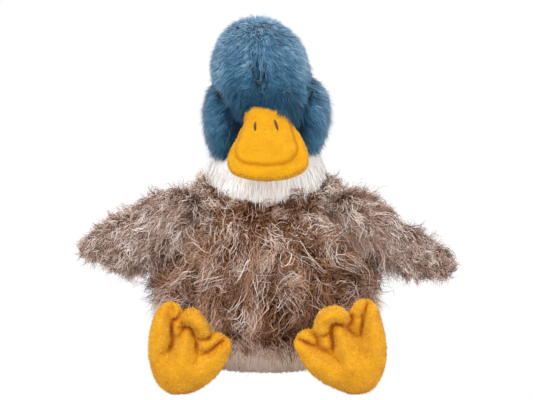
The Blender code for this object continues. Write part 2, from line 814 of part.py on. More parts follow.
def make_wings(body, finishes):
    """Each wing is cut to the body's side, apart from its round root, which nests in it."""
    hinge, fur = hinge_on_body(body), finishes["brown_fur"]
    for name, side in SIDES:
        pillow = wing_pillow(hinge, side)
        pocket = bpy.data.objects[f"wing_pocket_{name}"]
        room = boolean(helper(f"wing_room_{name}", body.mesh(-GAP)), [pocket])
        pieces = (
            add(f"wing_front_cover_{name}", pillow.front_cover(), fur, pillow.frame),
            add(f"wing_back_cover_{name}", pillow.back_cover(), fur, pillow.frame),
            add(f"wing_filling_{name}", pillow.filling(), finishes["stuffing"], pillow.frame),
        )
        for piece in pieces:
            boolean(piece, [room])
        pivot(f"wing_pivot_{name}", mirrored(hinge, side), pieces)


def make_tail(body, finishes):
    pillow = tail_pillow(body)
    pocket = bpy.data.objects["tail_pocket"]
    room = boolean(helper("tail_room", body.mesh(-GAP)), [pocket])
    pieces = (
        add("tail_upper_cover", pillow.front_cover(), finishes["brown_fur"], pillow.frame),
        add("tail_lower_cover", pillow.back_cover(), finishes["cream_plush"], pillow.frame),
        add("tail_filling", pillow.filling(), finishes["stuffing"], pillow.frame),
    )
    for piece in pieces:
        boolean(piece, [room])
    pivot("tail_pivot", pillow.frame.translation, pieces)


def leg_profile(length, inset):
    """(radius, along) from the hip's ball to the ankle's, with a slimmer tube between."""
    hip, tube, ankle = HIP_RADIUS - inset, LEG_RADIUS - inset, ANKLE_RADIUS - inset
    hip_side = math.acos(tube / hip)
    ankle_side = math.acos(tube / ankle)
    hip_arc = arc(hip, -math.pi / 2, hip_side, 5)
    ankle_arc = arc(ankle, -ankle_side, math.pi / 2, 5)
    hip_arc[0], ankle_arc[-1] = (0, -hip), (0, ankle)
    return hip_arc + [(radius, length + height) for radius, height in ankle_arc]


def make_legs(hips, finishes):
    """Returns each leg's empty."""
    pivots = {}
    for name, side in SIDES:
        hip = hips[name]
        run = ankle_of(hip, side) - hip
        frame = axis_frame(hip, run)
        inner = leg_profile(run.length, LEG_COVER_WALL)
        hollow = helper(f"leg_hollow_{name}", turned(inner, 14), frame)
        opening = helper(
            f"leg_opening_{name}", rod(LEG_OPENING_RADIUS, -HIP_RADIUS - CUTTER_OVERRUN, 0, 12),
            frame,
        )
        outer = leg_profile(run.length, 0.0)
        core = leg_profile(run.length, LEG_COVER_WALL + GAP)
        cover = add(f"leg_cover_{name}", turned(outer, 16), finishes["yellow_plush"], frame)
        filling = add(f"leg_filling_{name}", turned(core, 12), finishes["stuffing"], frame)
        boolean(cover, [hollow, opening])
        pivots[name] = pivot(f"leg_pivot_{name}", hip, [cover, filling])
    return pivots


def make_feet(hips, leg_pivots, finishes):
    for name, side in SIDES:
        ankle = ankle_of(hips[name], side)
        lean = LEFT_FOOT_LEAN if side == LEFT else RIGHT_FOOT_LEAN
        pillow = foot_pillow(ankle, side, lean)
        socket = helper(
            f"ankle_cutter_{name}", socket_ball(ANKLE_RADIUS, 16, 8), Matrix.Translation(ankle)
        )
        plush = finishes["yellow_plush"]
        sole = add(f"foot_sole_{name}", pillow.front_cover(), plush, pillow.frame)
        top = add(f"foot_top_{name}", pillow.back_cover(), plush, pillow.frame)
        filling = add(f"foot_filling_{name}", pillow.filling(), finishes["stuffing"], pillow.frame)
        boolean(top, [socket])
        boolean(filling, [socket])
        pivot(f"foot_pivot_{name}", ankle, [sole, top, filling], leg_pivots[name])


def make_finishes():
    return {
        "brown_fur": material("brown_fur", BROWN, 0.9),
        "cream_plush": material("cream_plush", CREAM, 0.9),
        "white_fur": material("white_fur", WHITE, 0.9),
        "blue_plush": material("blue_plush", BLUE, 0.85),
        "yellow_plush": material("yellow_plush", YELLOW, 0.85),
        "yellow_felt": material("yellow_felt", YELLOW, 0.95),
        "stuffing": material("stuffing", WHITE, 1.0),
        "pellet_cloth": material("pellet_cloth", CREAM, 0.9),
        "eye_black": material("eye_black", BLACK, 0.12),
        "washer_plastic": material("washer_plastic", WHITE, 0.4),
        "brown_thread": material("brown_thread", THREAD, 0.8),
    }


def main():
    clear_scene()
    finishes = make_finishes()
    body = body_egg()
    neck = neck_centre(body)
    head = head_egg(neck)
    hips = {name: hip_of(body, side) for name, side in SIDES}
    make_body(body, neck, hips, finishes)
    collar_pivot = make_neck(neck, finishes)
    head_pieces, skull = make_head(head, finishes)
    bill_pieces = make_bill(head, skull, finishes)
    pivot("head_pivot", neck, head_pieces + bill_pieces, collar_pivot)
    make_wings(body, finishes)
    make_tail(body, finishes)
    leg_pivots = make_legs(hips, finishes)
    make_feet(hips, leg_pivots, finishes)


main()
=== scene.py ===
"""Looks of the plush duck, in metres, in the frame of its CAD model."""

import json
import math

import bpy
import numpy as np
from mathutils import Matrix, Vector
from mathutils.kdtree import KDTree


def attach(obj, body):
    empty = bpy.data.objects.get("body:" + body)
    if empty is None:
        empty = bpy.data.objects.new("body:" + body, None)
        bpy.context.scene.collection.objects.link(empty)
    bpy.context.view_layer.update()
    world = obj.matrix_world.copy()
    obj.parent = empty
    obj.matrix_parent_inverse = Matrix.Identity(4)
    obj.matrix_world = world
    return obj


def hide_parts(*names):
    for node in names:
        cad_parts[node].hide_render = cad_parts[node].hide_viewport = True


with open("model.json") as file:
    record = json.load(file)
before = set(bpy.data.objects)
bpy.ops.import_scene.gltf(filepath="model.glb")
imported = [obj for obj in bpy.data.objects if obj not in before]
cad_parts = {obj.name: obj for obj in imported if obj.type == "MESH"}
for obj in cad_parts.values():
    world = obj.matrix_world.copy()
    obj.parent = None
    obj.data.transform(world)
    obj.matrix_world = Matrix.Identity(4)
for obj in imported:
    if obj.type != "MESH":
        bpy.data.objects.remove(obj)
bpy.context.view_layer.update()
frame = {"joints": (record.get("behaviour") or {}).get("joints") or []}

HAIR_SHARE = 1.0
MM = 0.001
FLOOR_CLEAR = 0.0004
UP = np.array((0.0, 0.0, 1.0))
# Hairs that stand straight up turn their faces this way
FACED = np.array((0.0, -0.35, 0.15))
# The tones of a piece of pile run between these, and its first two hairs hold the ends
TONE_ENDS = (0.03, 0.97)
# Half the width of a hair on its own map
MAP_HALF = 0.006

# The form, as the CAD model has it
HINGES = {joint["name"]: np.array(joint["pos_m"], float) for joint in frame["joints"]}
NECK = HINGES["head_turn"]
NECK_RADIUS = 0.043
BODY_CENTRE = np.array((0.0, 0.0, 0.060))
BODY_HALF_WIDTH, BODY_FRONT, BODY_BACK = 0.084, 0.068, 0.072
BODY_RISE, BODY_DROP = 0.100, 0.068
SEAM_HEIGHT, SEAM_SLOPE = 0.056, math.radians(24)
BILL_ROOT = np.array((0.0, -0.0461, 0.2089))
BILL_PITCH = math.radians(54)
WING_DROOP = {"left": math.radians(23), "right": math.radians(15)}
WING_SLUMP = math.radians(4.5)
TAIL_LIFT = math.radians(32)
FOOT_FRONT = -0.1060
PHOTO_MIDDLE_PX, FOOT_PIXEL = 266.5, 0.000735
SIDES = (("left", 1), ("right", -1))

# The body inside its pile
BODY_INSET = 0.0022
BODY_LOW, BODY_HIGH = (-0.095, -0.080, -0.004), (0.095, 0.085, 0.170)
BODY_CELL = 0.004
EYE_SLOTS = np.array(((0.0312, -0.031, 0.2125), (-0.0330, -0.031, 0.2125)))
LEG_RADIUS = 0.0098
# The ends of a thread, as a share of its radius
THREAD_END = 0.6

# The stage
WHITE = (1, 1, 1, 1)
FLOOR_HALF = 3.0
CAMERA_TARGET, CAMERA_TILT = Vector((0.0, -0.02, 0.1303)), math.radians(10)
# How far the camera stands off, and the width that it takes in there
CAMERA_DISTANCE, CAMERA_SPAN = 1.6, 0.4085
SENSOR_MM = 36.0


# Arrays of points

def unit(v):
    return v / np.maximum(np.linalg.norm(v, axis=-1, keepdims=True), 1e-12)


def smoothstep(low, high, x):
    t = np.clip((x - low) / (high - low), 0, 1)
    return t * t * (3 - 2 * t)


def hill(x, reach):
    """1 at zero, fading to 0 over about twice the reach."""
    return np.exp(-(x / reach) ** 2)


def distance(p, place):
    return np.linalg.norm(p - place, axis=1)


def to_segment(p, a, b):
    """The nearest place on the line from a to b, as a share of it, and the distance to it."""
    run = b - a
    t = np.clip((p - a) @ run / max(run @ run, 1e-12), 0, 1)
    return t, np.linalg.norm(p - a - t[:, None] * run, axis=1)


def wobble(p, size, seed, waves=6):
    """A smooth field from about -1 to 1 that changes over the given size."""
    rng = np.random.default_rng(seed)
    total = np.zeros(len(p))
    for _ in range(waves):
        direction = unit(rng.normal(size=3)) * rng.uniform(0.6, 1.6) * math.tau / size
        total += np.sin(p @ direction + rng.uniform(0, math.tau))
    return total / math.sqrt(waves)


def swirl(p, size, seed):
    """A smooth field of directions."""
    return np.stack([wobble(p, size, seed + i) for i in range(3)], 1)


def down_and_out(p, outward, down):
    """Directions away from the middle and down."""
    flow = np.zeros_like(p)
    flow[:, :2] = unit(p[:, :2]) * outward
    flow[:, 2] = -down
    return flow


def turn_about(axis, angle):
    return np.array(Matrix.Rotation(angle, 3, Vector(axis)))


def grid_over(low, high, cell):
    """Points of an even grid over a box, and their number along each axis."""
    counts = np.ceil((high - low) / cell).astype(int) + 1
    axes = [start + cell * np.arange(count) for start, count in zip(low, counts)]
    return np.stack(np.meshgrid(*axes, indexing="ij"), -1).reshape(-1, len(counts)), counts


# Signed distances: negative inside

def ellipsoid(p, centre, radii, turn=None):
    q = p - np.asarray(centre)
    if turn is not None:
        q = q @ turn
    radii = np.asarray(radii, float)
    k0 = np.linalg.norm(q / radii, axis=1)
    k1 = np.linalg.norm(q / radii ** 2, axis=1)
    return k0 * (k0 - 1) / np.maximum(k1, 1e-9)


def blend(a, b, k):
    """The union of two forms, with a fillet of about k."""
    h = np.maximum(k - np.abs(a - b), 0) / k
    return np.minimum(a, b) - h * h * k / 4


def body_form(p, inset=0.0):
    q = p - BODY_CENTRE
    level = q[:, 2] / np.where(q[:, 2] > 0, BODY_RISE, BODY_DROP)
    girth = np.maximum(1 - np.abs(level) ** 2.4, 0) ** (1 / 2.4) * (1 - 0.12 * level)
    depth = np.where(q[:, 1] < 0, BODY_FRONT, BODY_BACK)
    reach = np.hypot(q[:, 0] / BODY_HALF_WIDTH, q[:, 1] / depth)
    side = (reach - girth) * BODY_FRONT
    return np.maximum(side, (np.abs(level) - 1) * BODY_DROP) + inset


def seam_side(p):
    """Height above the slanted seam between the brown covers and the pale one."""
    return (p[:, 2] - SEAM_HEIGHT) * math.cos(SEAM_SLOPE) - p[:, 1] * math.sin(SEAM_SLOPE)


class Skin:
    """Vertices, faces and smooth normals, as arrays."""

    def __init__(self, points, faces):
        self.points, self.faces = np.asarray(points, float), np.asarray(faces, int)
        corners = [self.faces[:, i] for i in range(self.faces.shape[1])]
        a, b, c = (self.points[i] for i in corners[:3])
        if len(corners) == 4:
            across = np.cross(c - a, self.points[corners[3]] - b)
        else:
            across = np.cross(b - a, c - a)
        normals = np.zeros_like(self.points)
        for corner in corners:
            np.add.at(normals, corner, across)
        self.normals = unit(normals)

    def sample(self, count, rng, keep=None):
        """Points and normals spread evenly over the skin, or by the density keep gives."""
        tris = self.faces[:, :3]
        if self.faces.shape[1] == 4:
            tris = np.concatenate((tris, self.faces[:, [0, 2, 3]]))
        a, b, c = (self.points[tris[:, i]] for i in range(3))
        area = np.linalg.norm(np.cross(b - a, c - a), axis=1)
        found_p, found_n, have = [], [], 0
        tries = max(count * 2, 8000)
        for _ in range(60):
            if have >= count:
                break
            pick = rng.choice(len(tris), size=tries, p=area / area.sum())
            u, v = rng.random((2, len(pick)))
            flip = u + v > 1
            u, v = np.where(flip, 1 - u, u)[:, None], np.where(flip, 1 - v, v)[:, None]
            p = a[pick] + u * (b - a)[pick] + v * (c - a)[pick]
            n = unit(sum(
                w * self.normals[tris[pick, i]] for i, w in enumerate((1 - u - v, u, v))
            ))
            if keep is not None:
                stay = rng.random(len(p)) < keep(p, n)
                p, n = p[stay], n[stay]
            found_p.append(p)
            found_n.append(n)
            have += len(p)
        return np.concatenate(found_p)[:count], np.concatenate(found_n)[:count]


def crossings(field):
    """The sum of the places where a cell's edges cross zero, and their number, for each cell."""
    cells = np.array(field.shape) - 1
    total, hits = np.zeros((*cells, 3)), np.zeros(cells)
    for axis in range(3):
        others = [other for other in range(3) if other != axis]
        for offsets in ((0, 0), (0, 1), (1, 0), (1, 1)):
            start = np.zeros(3, int)
            start[others] = offsets
            end = start + np.eye(3, dtype=int)[axis]
            a, b = (
                field[tuple(slice(o, o + n) for o, n in zip(corner, cells))]
                for corner in (start, end)
            )
            cross = (a < 0) != (b < 0)
            share = np.where(cross, a / np.where(cross, a - b, 1), 0)
            total += cross[..., None] * (start + share[..., None] * np.eye(3)[axis])
            hits += cross
    return total, hits


def net_faces(field, index):
    """A quad round each grid edge that crosses zero, through the cells beside it."""
    faces = []
    for axis in range(3):
        order = (axis, (axis + 1) % 3, (axis + 2) % 3)
        turned, near = np.transpose(field, order), np.transpose(index, order)
        a, b = turned[:-1, 1:-1, 1:-1] < 0, turned[1:, 1:-1, 1:-1] < 0
        quads = np.stack(
            (near[:, :-1, :-1], near[:, 1:, :-1], near[:, 1:, 1:], near[:, :-1, 1:]), -1
        )
        faces += [quads[a & ~b], quads[~a & b][:, ::-1]]
    return np.concatenate(faces)


def settled(points, form, cell, rounds):
    """Points moved onto the surface along its slope."""
    step = cell * 0.1
    for _ in range(rounds):
        slope = np.stack([
            (form(points + step * e) - form(points - step * e)) / (2 * step) for e in np.eye(3)
        ], 1)
        move = -form(points)[:, None] * slope / np.maximum((slope ** 2).sum(1), 0.2)[:, None]
        points = points + np.clip(move, -cell * 0.5, cell * 0.5)
    return points


def surface_net(form, low, high, cell, polish):
    """The surface where form is zero, in quads of about the size of a cell."""
    low, high = np.array(low, float), np.array(high, float)
    grid, counts = grid_over(low, high, cell)
    field = form(grid).reshape(counts)
    total, hits = crossings(field)
    active = hits > 0
    index = np.full(hits.shape, -1)
    index[active] = np.arange(active.sum())
    points = low + cell * (np.argwhere(active) + total[active] / hits[active][:, None])
    return Skin(settled(points, form, cell, polish), net_faces(field, index))


# Objects

def add_object(name, data):
    obj = bpy.data.objects.new(name, data)
    bpy.context.scene.collection.objects.link(obj)
    return obj


def new_object(name, points, loops, sizes, material, body, replaces=()):
    """A smooth mesh that rides a body. Sizes are the numbers of corners of its faces."""
    mesh = bpy.data.meshes.new(name)
    mesh.vertices.add(len(points))
    mesh.vertices.foreach_set("co", np.ascontiguousarray(points, np.float32).ravel())
    mesh.loops.add(len(loops))
    mesh.loops.foreach_set("vertex_index", np.ascontiguousarray(loops, np.int32))
    mesh.polygons.add(len(sizes))
    starts = np.concatenate(([0], np.cumsum(sizes)[:-1])).astype(np.int32)
    mesh.polygons.foreach_set("loop_start", starts)
    mesh.update(calc_edges=True)
    mesh.shade_smooth()
    mesh.materials.append(material)
    obj = add_object(name, mesh)
    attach(obj, body)
    if replaces:
        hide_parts(*replaces)
    return obj


def skin_object(name, skin, material, body, replaces, crease_shade_of=None):
    """An object of a skin. Its last argument gives the attribute crease, 0 to 1, from its points
    and
    normals: painted shade, darkest in creases and hollows."""
    sizes = np.full(len(skin.faces), skin.faces.shape[1])
    obj = new_object(name, skin.points, skin.faces.ravel(), sizes, material, body, replaces)
    if crease_shade_of:
        values = crease_shade_of(skin.points, skin.normals).astype(np.float32)
        layer = obj.data.attributes.new("crease", "FLOAT", "POINT")
        layer.data.foreach_set("value", values)
    return obj


def closeness(form, reaches, low, high):
    """How much of the form stands close in front of its own surface, as 0 to 1."""
    def measure(points, normals):
        total = sum(
            np.clip((reach - form(points + normals * reach)) / reach, 0, 1) for reach in reaches
        ) / len(reaches)
        return smoothstep(low, high, total)
    return measure


class Coat:
    """How a patch of pile looks and lies. Its length and tone may be functions of the roots."""

    def __init__(self, length, width, steps=5, lift=0.5, droop=0.0, jitter=0.2, curl=0.0,
                 turns=1.0, lock=0.0, lock_share=0.08, spread=0.25, soft_share=0.6,
                 tone=0.5, tone_spread=0.3, lock_tone=0.5, roll=0.5, blunt=0.5):
        self.length, self.width, self.steps = length, width, steps
        self.lift, self.droop, self.jitter = lift, droop, jitter
        self.curl, self.turns = curl, turns
        self.lock, self.lock_share = lock, lock_share
        self.spread, self.soft_share = spread, soft_share
        self.tone, self.tone_spread, self.lock_tone = tone, tone_spread, lock_tone
        self.roll, self.blunt = roll, blunt


def paths(roots, normals, flow, lengths, coat, rng):
    """The centre lines of hairs: arrays of hair, step and coordinate."""
    count, steps = len(roots), coat.steps
    along = flow - (flow * normals).sum(1, keepdims=True) * normals
    start = unit(
        normals * coat.lift + unit(along) * (1 - coat.lift)
        + rng.normal(size=(count, 3)) * coat.jitter
    )
    side = unit(np.cross(start, rng.normal(size=(count, 3))))
    other = np.cross(start, side)
    phase = rng.uniform(0, math.tau, count)
    spin = coat.turns * rng.uniform(0.6, 1.4, count) * rng.choice((-1, 1), count)
    size = coat.curl * rng.uniform(0.5, 1.4, count)
    points = np.empty((count, steps + 1, 3))
    points[:, 0] = place = roots
    for k in range(1, steps + 1):
        t = k / steps
        heading = unit(start - UP * coat.droop * t)
        place = place + heading * (lengths / steps)[:, None]
        angle = phase + spin * t * math.tau
        swing = (size * min(1.0, t * 1.5))[:, None]
        points[:, k] = place + swing * (
            (np.cos(angle) - np.cos(phase))[:, None] * side
            + (np.sin(angle) - np.sin(phase))[:, None] * other
        )
    return points


def gather(points, roots, tone, coat, rng):
    """Hairs pulled towards the guide hair nearest to each root, and their tones."""
    count = len(roots)
    chosen = rng.choice(count, max(8, int(count * coat.lock_share)), replace=False)
    tree = KDTree(len(chosen))
    for i, k in enumerate(chosen):
        tree.insert(roots[k], i)
    tree.balance()
    nearest = np.array([tree.find(p)[1] for p in roots])
    guide = chosen[nearest]
    t = np.linspace(0, 1, coat.steps + 1)[None, :, None]
    pull = coat.lock * t ** 0.8
    target = points[guide] + (roots - roots[guide])[:, None, :] * (1 - 0.75 * t)
    lock_tone = rng.uniform(-1, 1, len(chosen))[nearest]
    tone = tone * (1 - coat.lock_tone) + lock_tone * coat.lock_tone
    return points * (1 - pull) + target * pull, tone


def by_corner(left, right, tip):
    """Values for the corners of each ribbon: left and right by turns, and then the tip."""
    count, steps, size = left.shape
    rows = np.empty((count, 2 * steps + 1, size))
    rows[:, 0:-1:2], rows[:, 1:-1:2], rows[:, -1] = left, right, tip
    return rows


def ribbons(points, normals, coat, rng):
    """Corner points and normals of a flat tapered ribbon along each hair."""
    count, steps = len(points), coat.steps
    share = np.arange(steps) / steps
    taper = np.where(share < coat.blunt, 1.0, 1 - 0.75 * (share - coat.blunt) / (1 - coat.blunt))
    width = coat.width / math.sqrt(HAIR_SHARE)
    half = width / 2 * taper[None, :, None] * rng.uniform(0.7, 1.3, count)[:, None, None]
    mean = unit(points[:, -1] - points[:, 0])
    side = unit(np.cross(mean, normals) + rng.normal(size=(count, 3)) * coat.roll)
    side = unit(side - (side * mean).sum(1, keepdims=True) * mean)
    faced = (np.cross(side, mean) * (normals + FACED)).sum(1, keepdims=True)
    side = np.where(faced < 0, -side, side)
    across, line = side[:, None] * half, points[:, :-1]
    heading = unit(np.diff(points, axis=1))
    own = unit(np.cross(np.broadcast_to(side[:, None], heading.shape), heading))
    shade = unit(own * (1 - coat.soft_share) + normals[:, None] * coat.soft_share)
    verts = by_corner(line - across, line + across, points[:, -1])
    return verts, by_corner(shade, shade, shade[:, -1])


def ribbon_faces(count, steps):
    """Corners and sizes of the faces: quads up each ribbon and a triangle at its tip."""
    per = 2 * steps + 1
    base = np.arange(steps - 1)[:, None] * 2 + np.array((0, 1, 3, 2))
    one = np.concatenate((base.ravel(), (per - 3, per - 2, per - 1)))
    loops = (one[None] + np.arange(count)[:, None] * per).ravel()
    return loops, np.tile(np.array([4] * (steps - 1) + [3]), count)


def hair_map(tone, steps):
    """Map places: the tone across, and root to tip upwards."""
    rise = np.broadcast_to(np.arange(steps) / steps * 0.96 + 0.02, (len(tone), steps))
    left, right = (
        np.stack((np.broadcast_to((tone + shift)[:, None], rise.shape), rise), 2)
        for shift in (-MAP_HALF, MAP_HALF)
    )
    tip = np.column_stack((tone - MAP_HALF, np.full(len(tone), 0.98)))
    return by_corner(left, right, tip)


def at_roots(setting, roots):
    return setting(roots) if callable(setting) else setting


def grow(name, roots, normals, flow, coat, material, body, seed, clear=None):
    """One object of flat tapered hairs, gathered into locks that share a tip."""
    rng = np.random.default_rng(seed)
    count = len(roots)
    lengths = at_roots(coat.length, roots) * (1 + coat.spread * rng.uniform(-1, 1, count))
    points = paths(roots, normals, flow, lengths, coat, rng)
    tone = rng.uniform(-1, 1, count)
    if coat.lock > 0:
        points, tone = gather(points, roots, tone, coat, rng)
    if clear is not None:
        points = clear(points)
    points[..., 2] = np.maximum(points[..., 2], FLOOR_CLEAR)
    verts, shading = ribbons(points, normals, coat, rng)
    loops, sizes = ribbon_faces(count, coat.steps)
    obj = new_object(name, verts.reshape(-1, 3), loops, sizes, material, body)
    tone = np.clip(at_roots(coat.tone, roots) + coat.tone_spread * tone, *TONE_ENDS)
    tone[:2] = TONE_ENDS
    places = hair_map(tone, coat.steps).reshape(-1, 2)[loops]
    layer = obj.data.uv_layers.new(name="OFBake")
    layer.data.foreach_set("uv", places.astype(np.float32).ravel())
    obj.data.normals_split_custom_set_from_vertices(shading.reshape(-1, 3))
    return obj


# Shader maths

class Sock:
    """A node's output that takes part in sums."""

    def __init__(self, graph, socket):
        self.graph, self.socket = graph, socket

    def math(self, operation, *values):
        inputs = dict(enumerate((self, *values)))
        node = self.graph.node("ShaderNodeMath", {"operation": operation}, inputs)
        return self.graph.sock(node, 0)

    def __add__(self, other):
        return self.math("ADD", other)

    def __sub__(self, other):
        return self.math("SUBTRACT", other)

    def __mul__(self, other):
        return self.math("MULTIPLY", other)

    def __rsub__(self, other):
        return (self * -1) + other

    __radd__, __rmul__ = __add__, __mul__

    def between(self, low, high):
        """0 below low, 1 above high and a smooth rise between."""
        node = self.graph.node(
            "ShaderNodeMapRange", {"interpolation_type": "SMOOTHSTEP"},
            {"Value": self, "From Min": low, "From Max": high},
        )
        return self.graph.sock(node, "Result")


def opaque(colour):
    """A colour with its alpha, or a socket as it is."""
    return colour if isinstance(colour, Sock) else (*colour, 1.0)


class Graph:
    """A material and the nodes of its shader."""

    def __init__(self, name, roughness, sheen=0.0, sheen_roughness=0.5, specular=0.5, coat=0.0):
        self.material = bpy.data.materials.new(name)
        self.material.use_nodes = True
        self.tree = self.material.node_tree
        self.shader = self.tree.nodes["Principled BSDF"]
        for socket, value in (
            ("Roughness", roughness), ("Sheen Weight", sheen), ("Metallic", 0.0),
            ("Sheen Roughness", sheen_roughness), ("Specular IOR Level", specular),
            ("Coat Weight", coat),
        ):
            self.shader.inputs[socket].default_value = value

    def node(self, kind, settings=None, inputs=None):
        made = self.tree.nodes.new(kind)
        for key, value in (settings or {}).items():
            setattr(made, key, value)
        for key, value in (inputs or {}).items():
            if isinstance(value, Sock):
                self.tree.links.new(value.socket, made.inputs[key])
            else:
                made.inputs[key].default_value = value
        return made

    def sock(self, node, key):
        return Sock(self, node.outputs[key])

    def mix(self, factor, a, b):
        inputs = {0: factor, 6: opaque(a), 7: opaque(b)}
        return self.sock(self.node("ShaderNodeMix", {"data_type": "RGBA"}, inputs), 2)

    def noise(self, size, detail=3.0, roughness=0.6, distortion=0.0):
        place = self.sock(self.node("ShaderNodeTexCoord"), "Object")
        inputs = {"Vector": place, "Scale": 1 / size, "Detail": detail, "Roughness": roughness}
        node = self.node("ShaderNodeTexNoise", {}, {**inputs, "Distortion": distortion})
        return self.sock(node, "Fac")

    def attribute(self, name):
        return self.sock(self.node("ShaderNodeAttribute", {"attribute_name": name}), "Fac")

    def ramp(self, factor, stops):
        node = self.node("ShaderNodeValToRGB", {}, {"Fac": factor})
        while len(node.color_ramp.elements) < len(stops):
            node.color_ramp.elements.new(0.5)
        for element, (place, colour) in zip(node.color_ramp.elements, stops):
            element.position, element.color = place, (*colour, 1.0)
        return self.sock(node, "Color")

    def feed(self, socket, value):
        self.tree.links.new(value.socket, self.shader.inputs[socket])

    def colour(self, value, glow=0.0):
        """The base colour, which also glows a little where a glow is given: painted light in the
        surface's own colour.
        """
        self.feed("Base Color", value)
        self.shader.inputs["Emission Strength"].default_value = glow
        if glow:
            self.feed("Emission Color", value)

    def bump(self, height, distance, strength=1.0):
        inputs = {"Height": height, "Distance": distance, "Strength": strength}
        self.feed("Normal", self.sock(self.node("ShaderNodeBump", {}, inputs), "Normal"))


def pile_material(name, stops, root, root_reach, sheen=0.2, sheen_roughness=0.5, glow=0.0):
    """Pile: its tone runs along the hair map's U and its root to tip along V. Near the root the
    colour goes over to root, which is painted shade deep in the pile. The glow is painted light
    that stands for the light that passes through pale hairs."""
    g = Graph(name, 0.8, sheen=sheen, sheen_roughness=sheen_roughness, specular=0.15)
    uv = g.node("ShaderNodeUVMap", {"uv_map": "OFBake"})
    parts = g.node("ShaderNodeSeparateXYZ", {}, {"Vector": g.sock(uv, 0)})
    tone, rise = g.sock(parts, "X"), g.sock(parts, "Y")
    colour = g.ramp(tone, stops)
    # Painted shade: the colour darkens to root towards the roots of the hairs
    g.colour(g.mix(rise.between(0.0, root_reach), root, colour), glow)
    return g.material


def backing_material(name, dark, light, glow=0.0):
    """The cloth under the pile, with tufts of pile too short to be hairs. The brown and blue cloths
    are dark as painted shade in the gaps between hairs, and the glow is painted light.
    """
    g = Graph(name, 0.95, sheen=0.1, specular=0.2)
    tufts = g.noise(0.004, 4.0, 0.7, distortion=0.6)
    g.colour(g.mix(tufts.between(0.35, 0.7), dark, light), glow)
    g.bump(tufts, 0.0015)
    return g.material


def velour_material(name, light, base, deep, glow):
    """Short velour: a speckled nap that goes orange in the creases, the orange there being painted
    shade, with a glow of painted light.
    """
    g = Graph(name, 0.9, sheen=0.08, sheen_roughness=0.6, specular=0.15)
    nap = g.noise(0.0012, 2.0, 0.7)
    brushed = g.noise(0.012, 3.0, 0.55)
    colour = g.mix(brushed.between(0.35, 0.7) * 0.6, base, light)
    colour = g.mix(nap.between(0.50, 0.72) * 0.42, colour, deep)
    # Painted shade: deep orange where the crease attribute marks creases and hollows
    colour = g.mix(g.attribute("crease").between(0.1, 1.0) * 0.75, colour, deep)
    g.colour(colour, glow)
    g.bump(nap + brushed * 0.5, 0.0007, 0.7)
    return g.material


def felt_material(name, light, base, deep):
    """Bill velour: denser and smoother, with fibres at every angle."""
    g = Graph(name, 0.9, sheen=0.06, sheen_roughness=0.5, specular=0.15)
    fibres = g.noise(0.0007, 2.0, 0.8)
    mottle = g.noise(0.009, 3.0, 0.5)
    colour = g.mix(mottle.between(0.35, 0.7), base, light)
    colour = g.mix(fibres.between(0.55, 0.8) * 0.3, colour, deep)
    # Painted shade: deeper orange in the topstitched groove and at the root, where the crease
    # attribute marks them
    colour = g.mix(g.attribute("crease").between(0.15, 1.0) * 0.8, colour, deep)
    g.colour(colour)
    g.bump(fibres, 0.00035, 0.6)
    return g.material


def thread_material(name, dark, light):
    g = Graph(name, 0.6, sheen=0.2, specular=0.4)
    twist = g.noise(0.0006, 1.0, 0.5)
    g.colour(g.mix(twist.between(0.3, 0.7), dark, light))
    g.bump(twist, 0.0002)
    return g.material


def plastic_material(name, colour, worn, roughness, coat=0.0):
    g = Graph(name, roughness, specular=0.35, coat=coat)
    haze = g.noise(0.002, 3.0, 0.6)
    g.colour(g.mix(haze.between(0.3, 0.9), colour, worn))
    g.feed("Roughness", haze * 0.12 + roughness)
    return g.material


